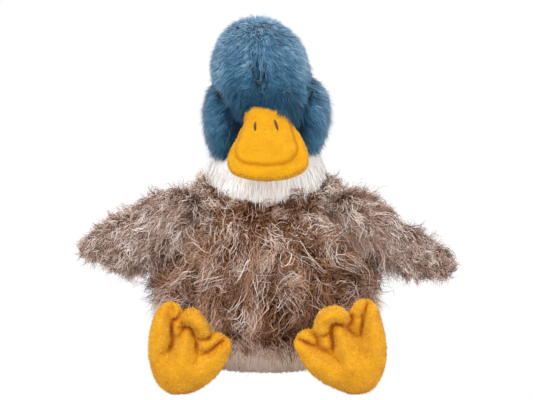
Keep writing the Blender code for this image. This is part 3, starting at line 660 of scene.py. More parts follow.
def make_finishes():
    # Painted shade: the root colour of the brown, dun and amber piles and the dark of the brown
    # backing
    shadow = (0.060, 0.023, 0.010)
    return {
        "brown": pile_material(
            "brown_pile",
            ((0.0, (0.052, 0.017, 0.005)), (0.25, (0.238, 0.094, 0.038)),
             (0.55, (0.425, 0.228, 0.138)), (0.78, (0.620, 0.420, 0.318)),
             (1.0, (0.930, 0.790, 0.690))),
            shadow, 0.40, sheen=0.03,
        ),
        "dun": pile_material(
            "dun_pile",
            ((0.0, (0.060, 0.026, 0.014)), (0.25, (0.225, 0.115, 0.070)),
             (0.55, (0.420, 0.275, 0.215)), (0.78, (0.620, 0.470, 0.410)),
             (1.0, (0.930, 0.830, 0.780))),
            shadow, 0.40, sheen=0.03,
        ),
        "amber": pile_material(
            "amber_pile",
            ((0.0, (0.160, 0.055, 0.014)), (0.50, (0.360, 0.165, 0.058)),
             (1.0, (0.580, 0.350, 0.180))),
            shadow, 0.40, sheen=0.03,
        ),
        # Painted shade: dark brown cloth, so that the gaps between hairs read as deep shade
        "brown_cloth": backing_material("brown_shade_backing", shadow, (0.16, 0.075, 0.042)),
        "blue": pile_material(
            "blue_pile",
            ((0.0, (0.010, 0.052, 0.105)), (0.45, (0.068, 0.200, 0.335)),
             (0.75, (0.135, 0.300, 0.460)), (1.0, (0.360, 0.540, 0.700))),
            (0.010, 0.050, 0.098), 0.35, sheen=0.45, sheen_roughness=0.4,
        ),
        # Painted shade: dark blue cloth, so that the gaps between hairs read as deep shade
        "blue_cloth": backing_material("blue_shade_backing", (0.008, 0.035, 0.065), (0.03, 0.10, 0.17)),
        # Painted light: the white and cream piles, their backings, the yellow nap and the velour
        # glow a little
        "white": pile_material(
            "white_pile",
            ((0.0, (0.880, 0.790, 0.720)), (0.30, (0.940, 0.890, 0.850)),
             (1.0, (0.970, 0.960, 0.945))),
            (0.90, 0.83, 0.77), 0.25, sheen=0.05, glow=0.08,
        ),
        "white_cloth": backing_material(
            "white_backing", (0.90, 0.83, 0.77), (0.96, 0.93, 0.90), glow=0.12
        ),
        "cream": pile_material(
            "cream_pile",
            ((0.0, (0.700, 0.530, 0.410)), (0.40, (0.860, 0.720, 0.610)),
             (1.0, (0.960, 0.910, 0.870))),
            (0.70, 0.53, 0.41), 0.25, sheen=0.05, glow=0.08,
        ),
        "cream_cloth": backing_material(
            "cream_backing", (0.68, 0.52, 0.41), (0.84, 0.71, 0.61), glow=0.08
        ),
        "yellow": pile_material(
            "yellow_nap",
            ((0.0, (0.660, 0.195, 0.003)), (0.35, (0.760, 0.345, 0.006)),
             (0.70, (0.870, 0.470, 0.012)), (1.0, (0.960, 0.670, 0.110))),
            (0.74, 0.32, 0.004), 0.4, sheen=0.14, sheen_roughness=0.4, glow=0.03,
        ),
        "velour": velour_material(
            "yellow_velour", (0.74, 0.375, 0.014), (0.64, 0.285, 0.008), (0.60, 0.150, 0.003),
            glow=0.06,
        ),
        "felt": felt_material(
            "yellow_felt_finish", (0.70, 0.335, 0.006), (0.65, 0.300, 0.004), (0.54, 0.165, 0.003)
        ),
        "thread": thread_material(
            "brown_thread_finish", (0.035, 0.012, 0.006), (0.12, 0.05, 0.025)
        ),
        "edge_thread": thread_material(
            "edge_thread_finish", (0.10, 0.05, 0.008), (0.34, 0.18, 0.015)
        ),
        "eye": plastic_material("eye_finish", (0.004, 0.004, 0.006), (0.008, 0.008, 0.010), 0.22),
        "washer": plastic_material("washer_finish", (0.80, 0.77, 0.72), (0.62, 0.60, 0.56), 0.45),
    }


def hairs(count):
    return int(count * HAIR_SHARE)


def nap(name, skin, count, tone, finishes, body, seed, length=0.0012):
    """The short nap of velour, which makes its edge soft."""
    p, n = skin.sample(hairs(count), np.random.default_rng(seed))
    coat = Coat(
        length, 0.00030, steps=2, lift=0.62, droop=0.1, jitter=0.30, spread=0.5, tone=tone(p, n),
        tone_spread=0.30, soft_share=0.8, blunt=0.3,
    )
    grow(name, p, n, swirl(p, 0.02, seed) - 0.4 * UP, coat, finishes["yellow"], body, seed)


# The body

def body_cover(p):
    """The body inside its pile, hollowed for the neck."""
    return np.maximum(body_form(p, BODY_INSET), NECK_RADIUS + 0.002 - distance(p, NECK))


def off_joints(p):
    """1 where pile can grow on the body, 0 at its joints and underneath."""
    stay = (distance(p, NECK) > NECK_RADIUS - 0.001).astype(float)
    for name, _ in SIDES:
        stay *= distance(p, HINGES[f"hip_{name}_lift"]) > 0.016
    return stay * (np.abs(body_form(p, BODY_INSET)) < 0.002) * (p[:, 2] > 0.003)


def brown_here(p, n):
    under_collar = (distance(p, NECK) < 0.0475) * (p[:, 1] < 0)
    at_side = 0.010 * smoothstep(0.058, 0.070, np.abs(p[:, 0]))
    ragged = seam_side(p) + 0.004 * wobble(p, 0.02, 7) - at_side > -0.001
    return off_joints(p) * ragged * (1 - under_collar)


def cream_here(p, n):
    return off_joints(p) * (seam_side(p) < 0.004)


def coat_share(p):
    """Share of the full hair length: less at the seam, the shoulders and beside the collar."""
    middle = hill(p[:, 0] - 0.006, 0.011)
    seam = 1 - 0.40 * smoothstep(0.030, 0.004, seam_side(p)) * (1 - 0.8 * middle)
    collar = 0.42 + 0.58 * smoothstep(0.046, 0.070, distance(p, NECK))
    shoulder = smoothstep(0.026, 0.040, np.abs(p[:, 0])) * smoothstep(0.105, 0.120, p[:, 2])
    return seam * collar * (1 - 0.22 * shoulder)


def coat_tone(p):
    """Paler on top and at the bottom as painted light; paler on the shoulders, partly the pile's
    own tone and partly painted light against the shade where the wings join; darker under the wings
    as painted shade.
    """
    aside, height = np.abs(p[:, 0]), p[:, 2]
    lit = 0.50 + 0.10 * smoothstep(0.09, 0.14, height) + 0.05 * smoothstep(0.05, 0.03, height)
    shaded = smoothstep(0.050, 0.075, aside) * smoothstep(0.10, 0.08, height)
    shoulder = smoothstep(0.030, 0.045, aside) * smoothstep(0.090, 0.115, height)
    lit += 0.38 * shoulder - 0.07 * shaded - 0.05
    return lit + 0.10 * wobble(p, 0.05, 21) + 0.15 * wobble(p, 0.013, 22)


def body_layers():
    """Each layer of the body's coat: name, coat, finish and number of hairs."""
    frizz = Coat(
        lambda p: 0.0130 * coat_share(p), 0.0007, steps=6, lift=0.40, droop=0.30, jitter=0.50,
        curl=0.0024, turns=1.7, lock=0.40, spread=0.35, tone=lambda p: coat_tone(p) - 0.15,
        tone_spread=0.40, lock_tone=0.5, roll=0.6, soft_share=0.5,
    )
    locks = Coat(
        lambda p: 0.0255 * coat_share(p), 0.00050, steps=8, lift=0.38, droop=0.48, jitter=0.38,
        curl=0.0038, turns=1.6, lock=0.80, lock_share=0.060, spread=0.45, tone=coat_tone,
        tone_spread=0.54, lock_tone=0.68, roll=0.5, soft_share=0.55,
    )
    wisps = Coat(
        lambda p: 0.0290 * coat_share(p), 0.00056, steps=8, lift=0.40, droop=0.45, jitter=0.36,
        curl=0.0040, turns=1.3, lock=0.84, lock_share=0.25, spread=0.4,
        tone=lambda p: coat_tone(p) + 0.26, tone_spread=0.16, roll=0.4, soft_share=0.6,
    )
    return (
        ("frizz", frizz, "brown", 13000), ("locks", locks, "brown", 13500),
        ("wisps", wisps, "dun", 2000), ("amber", frizz, "amber", 1900),
    )


def make_body_skins(finishes):
    """The padded covers on both sides of the seam."""
    for name, cut, finish, nodes in (
        ("body_skin", lambda p: 0.0002 - seam_side(p), "brown_cloth",
         ("body_front_cover", "body_back_cover", "body_stuffing")),
        ("under_skin", lambda p: np.maximum(seam_side(p) + 0.0002, 0.0006 - p[:, 2]),
         "cream_cloth", ("under_cover", "pellet_bag")),
    ):
        skin = surface_net(
            lambda p, cut=cut: np.maximum(body_cover(p), cut(p)), BODY_LOW, BODY_HIGH, BODY_CELL, 1
        )
        skin_object(name, skin, finishes[finish], "body", nodes)


def make_under_pile(whole, rng, finishes):
    """The pale pile below the seam, long on the two sides."""
    def flank(q):
        return smoothstep(0.050, 0.070, np.abs(q[:, 0])) * smoothstep(0.012, 0.030, q[:, 2])
    p, n = whole.sample(hairs(12000), rng, cream_here)
    coat = Coat(
        lambda q: 0.0070 + 0.0105 * flank(q), 0.00075, steps=4, lift=0.30, droop=0.30, jitter=0.14,
        curl=0.0006, lock=0.35, soft_share=0.85, tone_spread=0.24,
        tone=lambda q: 0.42 + 0.30 * flank(q) + 0.10 * wobble(q, 0.03, 5),
    )
    grow("under_fur", p, n, down_and_out(p, 0.35, 1.0), coat, finishes["cream"], "body", 33)


def make_body(finishes):
    """A frizzy brown coat in layers over a skin, and paler pile below the seam."""
    make_body_skins(finishes)
    whole = surface_net(lambda p: body_form(p, BODY_INSET), BODY_LOW, BODY_HIGH, BODY_CELL, 1)
    rng = np.random.default_rng(11)
    for layer, coat, finish, count in body_layers():
        p, n = whole.sample(hairs(count), rng, brown_here)
        flow = down_and_out(p, 0.3, 0.75) + swirl(p, 0.024, 1)
        for name, mask in (("front", p[:, 1] < 0), ("back", p[:, 1] >= 0)):
            grow(
                f"body_{layer}_{name}", p[mask], n[mask], flow[mask], coat, finishes[finish],
                "body", len(layer) + len(name),
            )
    make_under_pile(whole, rng, finishes)
    seat = surface_net(
        lambda p: np.maximum(body_form(p, 0.001), np.abs(p[:, 2] - 0.0027) - 0.0024),
        BODY_LOW, (*BODY_HIGH[:2], 0.012), 0.0024, 2,
    )
    skin_object("seat_cloth", seat, finishes["cream_cloth"], "body", ("seat_panel",))


def neck_ball(radius):
    """A form round the middle of the neck."""
    return lambda p: distance(p, NECK) - radius


def collar_ring(p):
    """The collar's cloth: a band of a hollow ball."""
    shell = np.abs(distance(p, NECK) - 0.0392) - 0.0028
    return np.maximum(shell, np.abs((p - NECK)[:, 2] - 0.004) - 0.0275)


def make_neck(finishes):
    """The white collar hangs over the shoulders from a soft ball."""
    cloth = finishes["white_cloth"]
    core = surface_net(neck_ball(0.0355), NECK - 0.04, NECK + 0.04, 0.004, 1)
    skin_object("neck_core", core, cloth, "neck", ("neck_stuffing",))
    collar = surface_net(collar_ring, NECK - 0.047, NECK + 0.047, 0.0022, 2)
    skin_object("collar_skin", collar, cloth, "collar_ring", ("collar",))
    outer = surface_net(neck_ball(0.0415), NECK - 0.05, NECK + 0.05, 0.004, 1)
    p, n = outer.sample(
        hairs(19000), np.random.default_rng(41), lambda p, n: (n[:, 2] > -0.12) * (n[:, 2] < 0.86)
    )
    coat = Coat(
        lambda q: 0.0190 + 0.0070 * smoothstep(-0.015, -0.035, q[:, 1]), 0.00060, steps=5,
        lift=0.10, droop=0.75, jitter=0.11, curl=0.0012, turns=0.8, blunt=0.55, lock=0.45,
        lock_share=0.05, spread=0.32, tone=lambda q: 0.66 + 0.08 * wobble(q, 0.012, 9),
        tone_spread=0.26, lock_tone=0.4, soft_share=0.95,
    )
    flow = down_and_out(p, 0.12, 1.0) + 0.12 * swirl(p, 0.02, 4)
    grow("collar_fur", p, n, flow, coat, finishes["white"], "collar_ring", 42)


# The head

def lean_of_head(p):
    """The stuffed crown leans a little to the right."""
    q, height = p.copy(), p[:, 2]
    q[:, 0] += 0.0054 * smoothstep(0.200, 0.240, height) + 0.0020 * smoothstep(0.240, 0.265, height)
    return q


def crown_form(q):
    low = ellipsoid(q, (0, -0.007, 0.2190), (0.0365, 0.0430, 0.0440))
    top = ellipsoid(q, (0, -0.008, 0.2375), (0.0310, 0.0375, 0.0300))
    brow = ellipsoid(q, (0, -0.0310, 0.2130), (0.0270, 0.0250, 0.0215))
    back = ellipsoid(q, (0, 0.006, 0.197), (0.0345, 0.036, 0.034))
    form = blend(blend(low, top, 0.010), back, 0.015)
    return blend(form, brow, 0.010)


def cheeks_form(q):
    return np.min([
        ellipsoid(
            q, (side * 0.0295, -0.0065, middle), (0.0152, 0.0325, half),
            turn_about((0, 1, 0), side * 0.06) @ turn_about((1, 0, 0), -0.28),
        ) for side, middle, half in ((1, 0.1952, 0.0310), (-1, 0.1908, 0.0322))
    ], axis=0)


def eye_gap(p, room=0.0):
    """The narrow gap in the pile that shows each eye."""
    radii = (0.0018 + room, 0.0090, 0.0066 + room)
    return np.min([ellipsoid(p, slot, radii) for slot in EYE_SLOTS], axis=0)


def near_eye(p):
    return np.max([smoothstep(0.008, 0.003, distance(p, slot)) for slot in EYE_SLOTS], axis=0)


def head_form(p, inset=0.0):
    """Crown, brow and two cheeks, with the creases between them left open."""
    q = lean_of_head(p)
    away = np.hypot(q[:, 0], (q[:, 2] - 0.2285) / 4.5)
    front = smoothstep(-0.02, -0.035, q[:, 1])
    crown = crown_form(q) + 0.0070 * front * hill(away, 0.0038)
    form = blend(crown, cheeks_form(q), 0.0015)
    socket = NECK_RADIUS + 0.0012 - distance(p, NECK)
    return np.maximum.reduce((form + inset, socket, -eye_gap(p)))


def cheek_share(p):
    """1 on the cheeks, 0 on the crown."""
    q = lean_of_head(p)
    return smoothstep(-0.003, 0.004, crown_form(q) - cheeks_form(q))


def head_crease(p):
    """1 in the creases beside the cheeks, fading to 0 away from them."""
    q = lean_of_head(p)
    return hill(np.abs(crown_form(q) - cheeks_form(q)), 0.0040)


def furrow(p, reach=0.0028):
    """1 along the dip above the bill, fading to 0 beside it."""
    high = smoothstep(0.203, 0.208, p[:, 2]) * smoothstep(0.250, 0.240, p[:, 2])
    return hill(lean_of_head(p)[:, 0], reach) * high * (p[:, 1] < -0.02)


def head_flow(p):
    """Down and back, parted in the middle of the brow."""
    x, height = lean_of_head(p)[:, 0], p[:, 2]
    side = np.tanh(x / (0.004 + 0.016 * smoothstep(0.240, 0.258, height)))
    front = smoothstep(0.0, -0.04, p[:, 1])
    parting = hill(x, 0.009) * front * (height < 0.243)
    out = side * (0.50 + 0.30 * front + 1.1 * parting)
    return np.stack((out, 0.25 - 0.25 * front, -np.ones(len(p))), 1) + 0.26 * swirl(p, 0.022, 61)


def fringe_length(p):
    """Shortest left of the middle, so that the bill shows most there."""
    x = p[:, 0]
    return 0.0050 + 0.64 * np.clip(x + 0.004, 0, 0.022) + 1.2 * np.clip(-0.011 - x, 0, 0.006)


class HeadPile:
    """Where the pile of the head grows and how, round the bill, the eyes and the furrow."""

    def __init__(self, bill):
        self.bill = bill

    def here(self, p, n):
        x, y, _ = self.bill.local(p).T
        under_bill = (np.abs(x) < 0.0155) * (y < -0.004) * (y > -0.040) * (p[:, 1] < -0.03)
        keep = (distance(p, NECK) > NECK_RADIUS + 0.0025) * (1 - under_bill)
        return keep * (eye_gap(p, 0.0006) > 0)

    def above_bill(self, p, n):
        x, y, z = self.bill.local(p).T
        around = np.hypot(x / 0.0235, (y + 0.003) / 0.0125)
        return self.here(p, n) * (around < 1) * (z > -0.004) * (p[:, 1] < -0.028)

    def in_furrow(self, p, n):
        return self.here(p, n) * (furrow(p, 0.0016) > 0.4) * (p[:, 2] > 0.222)

    def near_bill(self, p, reach):
        """1 beside and above the root of the bill, fading to 0 away from it."""
        x, y, _ = self.bill.local(p).T
        beside = np.maximum(np.abs(x) - 0.0165 - 0.22 * np.maximum(-y - 0.014, 0), 0)
        return hill(np.hypot(beside, np.maximum(y, 0)), reach) * (p[:, 1] < -0.022)

    def beside_bill(self, p):
        return self.near_bill(p, 0.0110) * (self.bill.local(p)[:, 1] < 0.004)

    def length(self, p):
        top = smoothstep(0.235, 0.262, p[:, 2])
        full = 0.0080 - 0.0014 * top + 0.0034 * cheek_share(p) - 0.0036 * head_crease(p)
        full = full * (1 - 0.20 * near_eye(p)) * (1 - 0.45 * furrow(p))
        return full * (1 - 0.45 * self.beside_bill(p))

    def tone(self, p):
        # Painted highlight: lighter towards the top of the head and on the upper sides of the crown
        top = smoothstep(0.212, 0.262, p[:, 2])
        aside = smoothstep(0.016, 0.032, np.abs(lean_of_head(p)[:, 0]))
        aside *= smoothstep(0.205, 0.225, p[:, 2])
        level = 0.44 + 0.25 * top + 0.26 * aside * (1 - cheek_share(p)) + 0.13 * cheek_share(p)
        level += 0.08 * wobble(p, 0.02, 71) + 0.06 * wobble(p, 0.006, 72)
        # Painted light: lighter on the side at +x, to even out the light
        level += 0.08 * smoothstep(0.0, 0.03, p[:, 0])
        # Painted shade: darker in the creases beside the cheeks, beside and above the bill, in the
        # furrow and round the eyes
        dark = 0.34 * head_crease(p) + 0.60 * self.beside_bill(p) + 0.30 * self.near_bill(p, 0.019)
        return level - dark - 0.55 * furrow(p) - 0.30 * near_eye(p)

    def coat(self):
        return Coat(
            self.length, 0.00040, steps=4, lift=0.36, droop=0.15, jitter=0.15, curl=0.0006,
            turns=0.7, lock=0.48, lock_share=0.16, spread=0.3, tone=self.tone, tone_spread=0.40,
            lock_tone=0.40, roll=0.35, blunt=0.4, soft_share=0.72,
        )


def make_fringe(pile, skin, rng, finishes):
    """The brow's pile that hangs over the root of the bill."""
    p, n = skin.sample(hairs(5200), rng, pile.above_bill)
    x = p[:, 0]
    aside = np.clip(x / 0.010, -1, 1) * (1 - 1.5 * smoothstep(0.010, 0.020, np.abs(x)))
    down = np.stack((0.50 * aside, np.full(len(p), -0.45), np.full(len(p), -0.9)), 1)
    # Painted shade: the fringe is dark where it hangs over the root of the bill
    coat = Coat(
        fringe_length, 0.00034, steps=5, lift=0.42, droop=0.75, jitter=0.24, curl=0.0009,
        lock=0.10, lock_share=0.2, spread=0.15, tone=0.10, tone_spread=0.30, roll=0.4,
        soft_share=0.6,
    )
    grow(
        "head_fringe", p, n, down + 0.15 * swirl(p, 0.01, 5), coat, finishes["blue"], "head", 83,
        clear=pile.bill.clear,
    )


def make_furrow_fur(pile, skin, rng, finishes):
    """The pale wisps that stand along the furrow."""
    p, n = skin.sample(hairs(300), rng, pile.in_furrow)
    coat = Coat(
        0.0120, 0.00042, steps=6, lift=0.30, droop=0.3, jitter=0.10, curl=0.0014, turns=1.1,
        lock=0.75, lock_share=0.08, spread=0.3, tone=0.66, tone_spread=0.25, soft_share=0.7,
    )
    grow(
        "head_furrow_fur", p, n, np.tile((0.1, -0.3, -1.0), (len(p), 1)), coat, finishes["blue"],
        "head", 84, clear=pile.bill.clear,
    )


def make_head(bill, finishes):
    skin = surface_net(
        lambda p: head_form(p, 0.0015), (-0.06, -0.065, 0.148), (0.06, 0.05, 0.276), 0.0026, 2
    )
    skin_object(
        "head_skin", skin, finishes["blue_cloth"], "head",
        ("head_cover_left", "head_cover_right", "cheek_left", "cheek_right", "head_stuffing"),
    )
    pile, rng = HeadPile(bill), np.random.default_rng(51)
    p, n = skin.sample(hairs(56000), rng, pile.here)
    flow = head_flow(p)
    make_fringe(pile, skin, rng, finishes)
    make_furrow_fur(pile, skin, rng, finishes)
    for name, half, seed in (("left", p[:, 0] >= 0, 81), ("right", p[:, 0] < 0, 82)):
        for part, ahead in (("front", p[:, 1] < -0.012), ("back", p[:, 1] >= -0.012)):
            mask = half & ahead
            grow(
                f"head_fur_{name}_{part}", p[mask], n[mask], flow[mask], pile.coat(),
                finishes["blue"], "head", seed + len(part), clear=bill.clear,
            )
    for name, _ in SIDES:
        for node, finish in ((f"eye_{name}", "eye"), (f"eye_washer_{name}", "washer")):
            mesh = bpy.data.objects[node].data
            mesh.materials.clear()
            mesh.materials.append(finishes[finish])


# Flat sewn pieces

def curve_through(points, steps):
    """Points on a closed smooth curve through the given ones."""
    points = np.asarray(points, float)
    found = []
    for i in range(len(points)):
        a, b, c, d = (points[(i + k) % len(points)] for k in (-1, 0, 1, 2))
        for step in range(steps):
            t = step / steps
            found.append(0.5 * (
                2 * b + (c - a) * t + (2 * a - 5 * b + 4 * c - d) * t ** 2
                + (3 * b - a - 3 * c + d) * t ** 3
            ))
    return np.array(found)


def outline_distance(p, line):
    """Distance in the plane to a closed outline, negative inside."""
    best, odd = np.full(len(p), np.inf), np.zeros(len(p), bool)
    for a, b in zip(line, np.roll(line, -1, 0)):
        best = np.minimum(best, to_segment(p, a, b)[1])
        spans = (a[1] > p[:, 1]) != (b[1] > p[:, 1])
        rise = b[1] - a[1] if b[1] != a[1] else 1e-12
        odd ^= spans & (p[:, 0] < (b[0] - a[0]) * (p[:, 1] - a[1]) / rise + a[0])
    return np.where(odd, -best, best)


def line_distance(p, line):
    """Distance in the plane to an open line."""
    return np.min([to_segment(p, a, b)[1] for a, b in zip(line, line[1:])], axis=0)


class FlatMap:
    """Values of a function over a plane, read between the points of a grid."""

    def __init__(self, function, low, high, cell=0.0005):
        self.low, self.cell = np.array(low, float), cell
        grid, counts = grid_over(self.low, np.array(high), cell)
        self.values = function(grid).reshape(counts)

    def __call__(self, p):
        spot = np.clip((p - self.low) / self.cell, 0, np.array(self.values.shape) - 1.001)
        x, y = spot.astype(int).T
        right, up = (spot - np.floor(spot)).T
        v = self.values
        near = v[x, y] * (1 - right) + v[x + 1, y] * right
        far = v[x, y + 1] * (1 - right) + v[x + 1, y + 1] * right
        return near * (1 - up) + far * up


def outline_depth(outline, margin=0.006):
    """Depth inside an outline, as a map."""
    return FlatMap(
        lambda p: -outline_distance(p, outline), outline.min(0) - margin, outline.max(0) + margin
    )


def rounded(depth, reach):
    """The rise of a round edge: 0 at the outline and 1 from reach inwards."""
    return np.sqrt(1 - (1 - np.clip(depth / reach, 0, 1)) ** 2)


def local_form(form, origin, axes):
    """A form in world space, from one in the axes of a piece."""
    turn = np.array(axes).T
    return lambda p: form((p - origin) @ turn)


def ring_round(place, radius, side, other, count):
    """A ring of points in the plane of two directions."""
    angles = np.arange(count) / count * math.tau
    return place + radius * (np.cos(angles)[:, None] * side + np.sin(angles)[:, None] * other)


def thread(name, lines, radius, material, body, replaces=(), sides=6):
    """Short lengths of thread, each a closed tube through a few points, thinner at its ends."""
    points, faces = [], []
    for line in lines:
        line = np.asarray(line, float)
        heading = unit(np.gradient(line, axis=0))
        side = unit(np.cross(heading, (0.31, 0.22, 0.93)))
        other = np.cross(heading, side)
        base, last = len(points) * sides, len(line) - 1
        for i, place in enumerate(line):
            r = radius * (THREAD_END if i in (0, last) else 1.0)
            points.append(ring_round(place, r, side[i], other[i], sides))
        for i in range(last):
            for k in range(sides):
                a, b = base + i * sides + k, base + i * sides + (k + 1) % sides
                faces.append((a, b, b + sides, a + sides))
        ring = tuple(range(base, base + sides))
        faces += [ring[::-1], tuple(k + last * sides for k in ring)]
    loops = np.array([corner for face in faces for corner in face])
    sizes = np.array([len(face) for face in faces])
    return new_object(name, np.concatenate(points), loops, sizes, material, body, replaces)


# The bill

# Millimetres across, and from the root to the tip
BILL_OUTLINE = (
    (-12.5, -0.5), (-15.0, 6.0), (-16.6, 12.0), (-17.2, 19.0), (-19.9, 24.5), (-22.0, 31.0),
    (-25.6, 37.5), (-28.3, 44.5), (-28.9, 50.0), (-27.6, 55.5), (-23.8, 60.1), (-12.6, 63.9),
    (-1.5, 65.2), (8.0, 64.7), (17.1, 62.9), (26.4, 58.5), (30.4, 53.5), (31.2, 47.0),
    (30.2, 40.5), (27.8, 34.0), (24.4, 27.0), (20.8, 21.5), (18.4, 16.0), (16.8, 8.0),
    (13.5, -0.5),
)
BILL_PANEL = (
    (-14.5, -2.0), (-16.8, 18.0), (-19.8, 30.5), (-22.3, 41.0), (-21.8, 48.7), (-16.6, 53.4),
    (-8.0, 55.2), (0.6, 55.6), (7.5, 55.1), (13.8, 53.8), (18.9, 50.3), (22.1, 46.1),
    (22.8, 41.3), (20.7, 33.9), (17.9, 22.0), (14.5, -2.0),
)

NOSTRILS = {
    "right": ((-8.2, 22.0), (-8.5, 24.5), (-8.5, 27.0), (-8.4, 29.4)),
    "left": ((6.0, 20.0), (6.7, 22.9), (7.5, 25.9), (8.4, 28.8)),
}
BILL_FLAT = (MM, -MM)
# The overcast stitches run round the front from one side to the other
STITCH_START, STITCH_END, STITCH_MIDDLE = (-0.028, -0.050), (0.031, -0.050), (0.001, -0.045)
STITCH_PITCH = 0.0019


def bill_axes():
    """Across, from tip to root, and out of the bill's top."""
    c, s = math.cos(BILL_PITCH), math.sin(BILL_PITCH)
    return np.array(((1.0, 0.0, 0.0), (0.0, c, s), (0.0, -s, c)))


class Bill:
    """A padded middle panel, a topstitched groove and a flat border."""

    def __init__(self):
        self.axes = bill_axes()
        self.outline = curve_through(np.array(BILL_OUTLINE) * BILL_FLAT, 4)
        self.edge = outline_depth(self.outline)
        self.inner = outline_depth(curve_through(np.array(BILL_PANEL) * BILL_FLAT, 3), 0.012)

    def over(self, flat):
        """Height of the bill's top over its middle plane."""
        edge, inner, down = self.edge(flat), self.inner(flat), -flat[:, 1]
        rooted = smoothstep(-0.002, 0.016, down)
        puff = 0.0012 * rounded(inner, 0.0030) + 0.0036 * rounded(inner, 0.0190)
        groove = 0.0009 * hill(inner, 0.0011) * smoothstep(0.010, 0.022, down)
        ripple = 0.0004 * wobble(np.column_stack((flat, 0 * down)), 0.014, 3)
        rim = (0.0060 + ripple) * rounded(edge, 0.0062)
        return rim * (0.4 + 0.6 * rooted) + puff * rooted - groove

    def local(self, p):
        return (p - BILL_ROOT) @ self.axes.T

    def form(self, p):
        q = self.local(p)
        flat = q[:, :2]
        edge = self.edge(flat)
        under = -0.0085 * rounded(edge, 0.017)
        return np.maximum.reduce((q[:, 2] - self.over(flat), under - q[:, 2], -edge))

    def seam(self, points, normals):
        """Painted shade: 1 in the topstitched groove and where the bill meets the head."""
        q = self.local(points)
        line = hill(self.inner(q[:, :2]), 0.0014)
        line *= smoothstep(0.010, 0.024, -q[:, 1]) * (q[:, 2] > 0)
        return np.maximum(0.62 * line, 0.9 * smoothstep(-0.014, -0.002, q[:, 1]))

    def on_top(self, flat, lift=0.0):
        """Places on the bill's top, in space."""
        across, along, out = self.axes
        rise = self.over(flat) + lift
        return BILL_ROOT + flat[:, :1] * across + flat[:, 1:] * along + rise[:, None] * out

    def clear(self, points):
        """Hair paths, lifted off the top of the bill."""
        flat_points = points.reshape(-1, 3)
        q = self.local(flat_points)
        short = self.over(q[:, :2]) + 0.0006 - q[:, 2]
        inside = (self.edge(q[:, :2]) > -0.0002) & (short > 0) & (q[:, 2] > -0.006)
        raised = flat_points + np.where(inside, short, 0)[:, None] * self.axes[2]
        return raised.reshape(points.shape)


def make_bill(bill, finishes):
    across, along, out = bill.axes
    corners = np.array([
        BILL_ROOT + x * across + y * along + z * out
        for x in (-0.032, 0.034) for y in (-0.068, 0.003) for z in (-0.010, 0.014)
    ])
    skin = surface_net(bill.form, corners.min(0), corners.max(0), 0.0011, 2)
    skin_object(
        "bill", skin, finishes["felt"], "head", ("bill_upper", "bill_lower", "bill_filling"),
        bill.seam,
    )
    # Painted shade: the nap darkens in the topstitched groove and at the bill's root
    nap(
        "bill_nap", skin, 15000, lambda p, n: 0.70 - 0.36 * bill.seam(p, n), finishes, "head", 61,
        length=0.0006,
    )
    for name, points in NOSTRILS.items():
        line = bill.on_top(np.array(points) * BILL_FLAT, 0.0005)
        line[[0, -1]] -= out * 0.0009
        thread(
            f"nostril_thread_{name}", [line], 0.00095, finishes["thread"], "head",
            (f"nostril_{name}",),
        )
    make_edge_stitches(bill, finishes)


def front_edge(outline):
    """The part of the bill's outline that is stitched."""
    start = int(np.argmin(distance(outline, STITCH_START)))
    ring = np.roll(outline, -start, axis=0)
    return ring[: int(np.argmin(distance(ring, STITCH_END))) + 1]


def make_edge_stitches(bill, finishes):
    """Small uneven overcast stitches round the bill's front edge."""
    edge = front_edge(bill.outline)
    travelled = np.concatenate(([0], np.cumsum(np.linalg.norm(np.diff(edge, axis=0), axis=1))))
    lines = []
    for i, spot in enumerate(np.arange(0.001, travelled[-1], STITCH_PITCH)):
        place = np.array([np.interp(spot, travelled, edge[:, k]) for k in range(2)])
        inward = unit(STITCH_MIDDLE - place)
        sideways = np.array((-inward[1], inward[0])) * 0.0006 * math.sin(i * 2.4)
        reaches = np.array((0.0, 0.0008, 0.0013 + 0.0005 * math.sin(i * 1.7)))[:, None]
        line = bill.on_top(place + inward * reaches + sideways * reaches / 0.0016)
        line[[0, 2]] -= bill.axes[2] * 0.0004
        lines.append(line)
    thread("bill_edge_stitches", lines, 0.00034, finishes["edge_thread"], "head", sides=5)


# Wings and tail

def pillow(inside, half, edge):
    """A flat stuffed form over an outline, in the axes of its piece."""
    def form(q):
        depth = inside(q[:, :2])
        return np.maximum(np.abs(q[:, 2]) - half * rounded(depth, edge), 0.0008 - depth)
    return form


# Each wing as it hangs, in millimetres from its hinge: towards the tip and up
WING_OUTLINES = {
    "left": (
        (-17.0, 9.0), (-7.0, 14.0), (5.0, 15.0), (16.0, 12.5), (26.0, 8.5), (37.0, 6.5),
        (49.0, 7.0), (61.0, 6.5), (72.0, 4.0), (79.5, -1.0), (80.5, -8.0), (73.5, -13.5),
        (63.0, -18.5), (53.0, -21.5), (42.0, -22.0), (28.0, -20.0), (14.0, -20.0), (0.0, -20.0),
        (-12.0, -16.5), (-20.0, -5.0),
    ),
    "right": (
        (-17.0, 10.0), (-8.0, 15.5), (2.0, 17.0), (14.0, 16.0), (27.0, 13.0), (41.0, 11.0),
        (55.0, 8.5), (66.0, 4.5), (73.0, 0.0), (74.5, -4.0), (69.5, -9.0), (61.0, -15.5),
        (53.0, -23.5), (46.0, -28.0), (38.0, -29.0), (29.0, -27.0), (16.0, -22.0), (0.0, -20.5),
        (-12.0, -16.5), (-20.0, -5.0),
    ),
}


def wing_skin(name, hinge, axes):
    inside = outline_depth(curve_through(np.array(WING_OUTLINES[name]) * MM, 2))
    form = local_form(pillow(inside, 0.0078, 0.016), hinge, axes)
    low, high = hinge - (0.090, 0.012, 0.068), hinge + (0.090, 0.012, 0.045)
    return surface_net(form, low, high, 0.0030, 1)


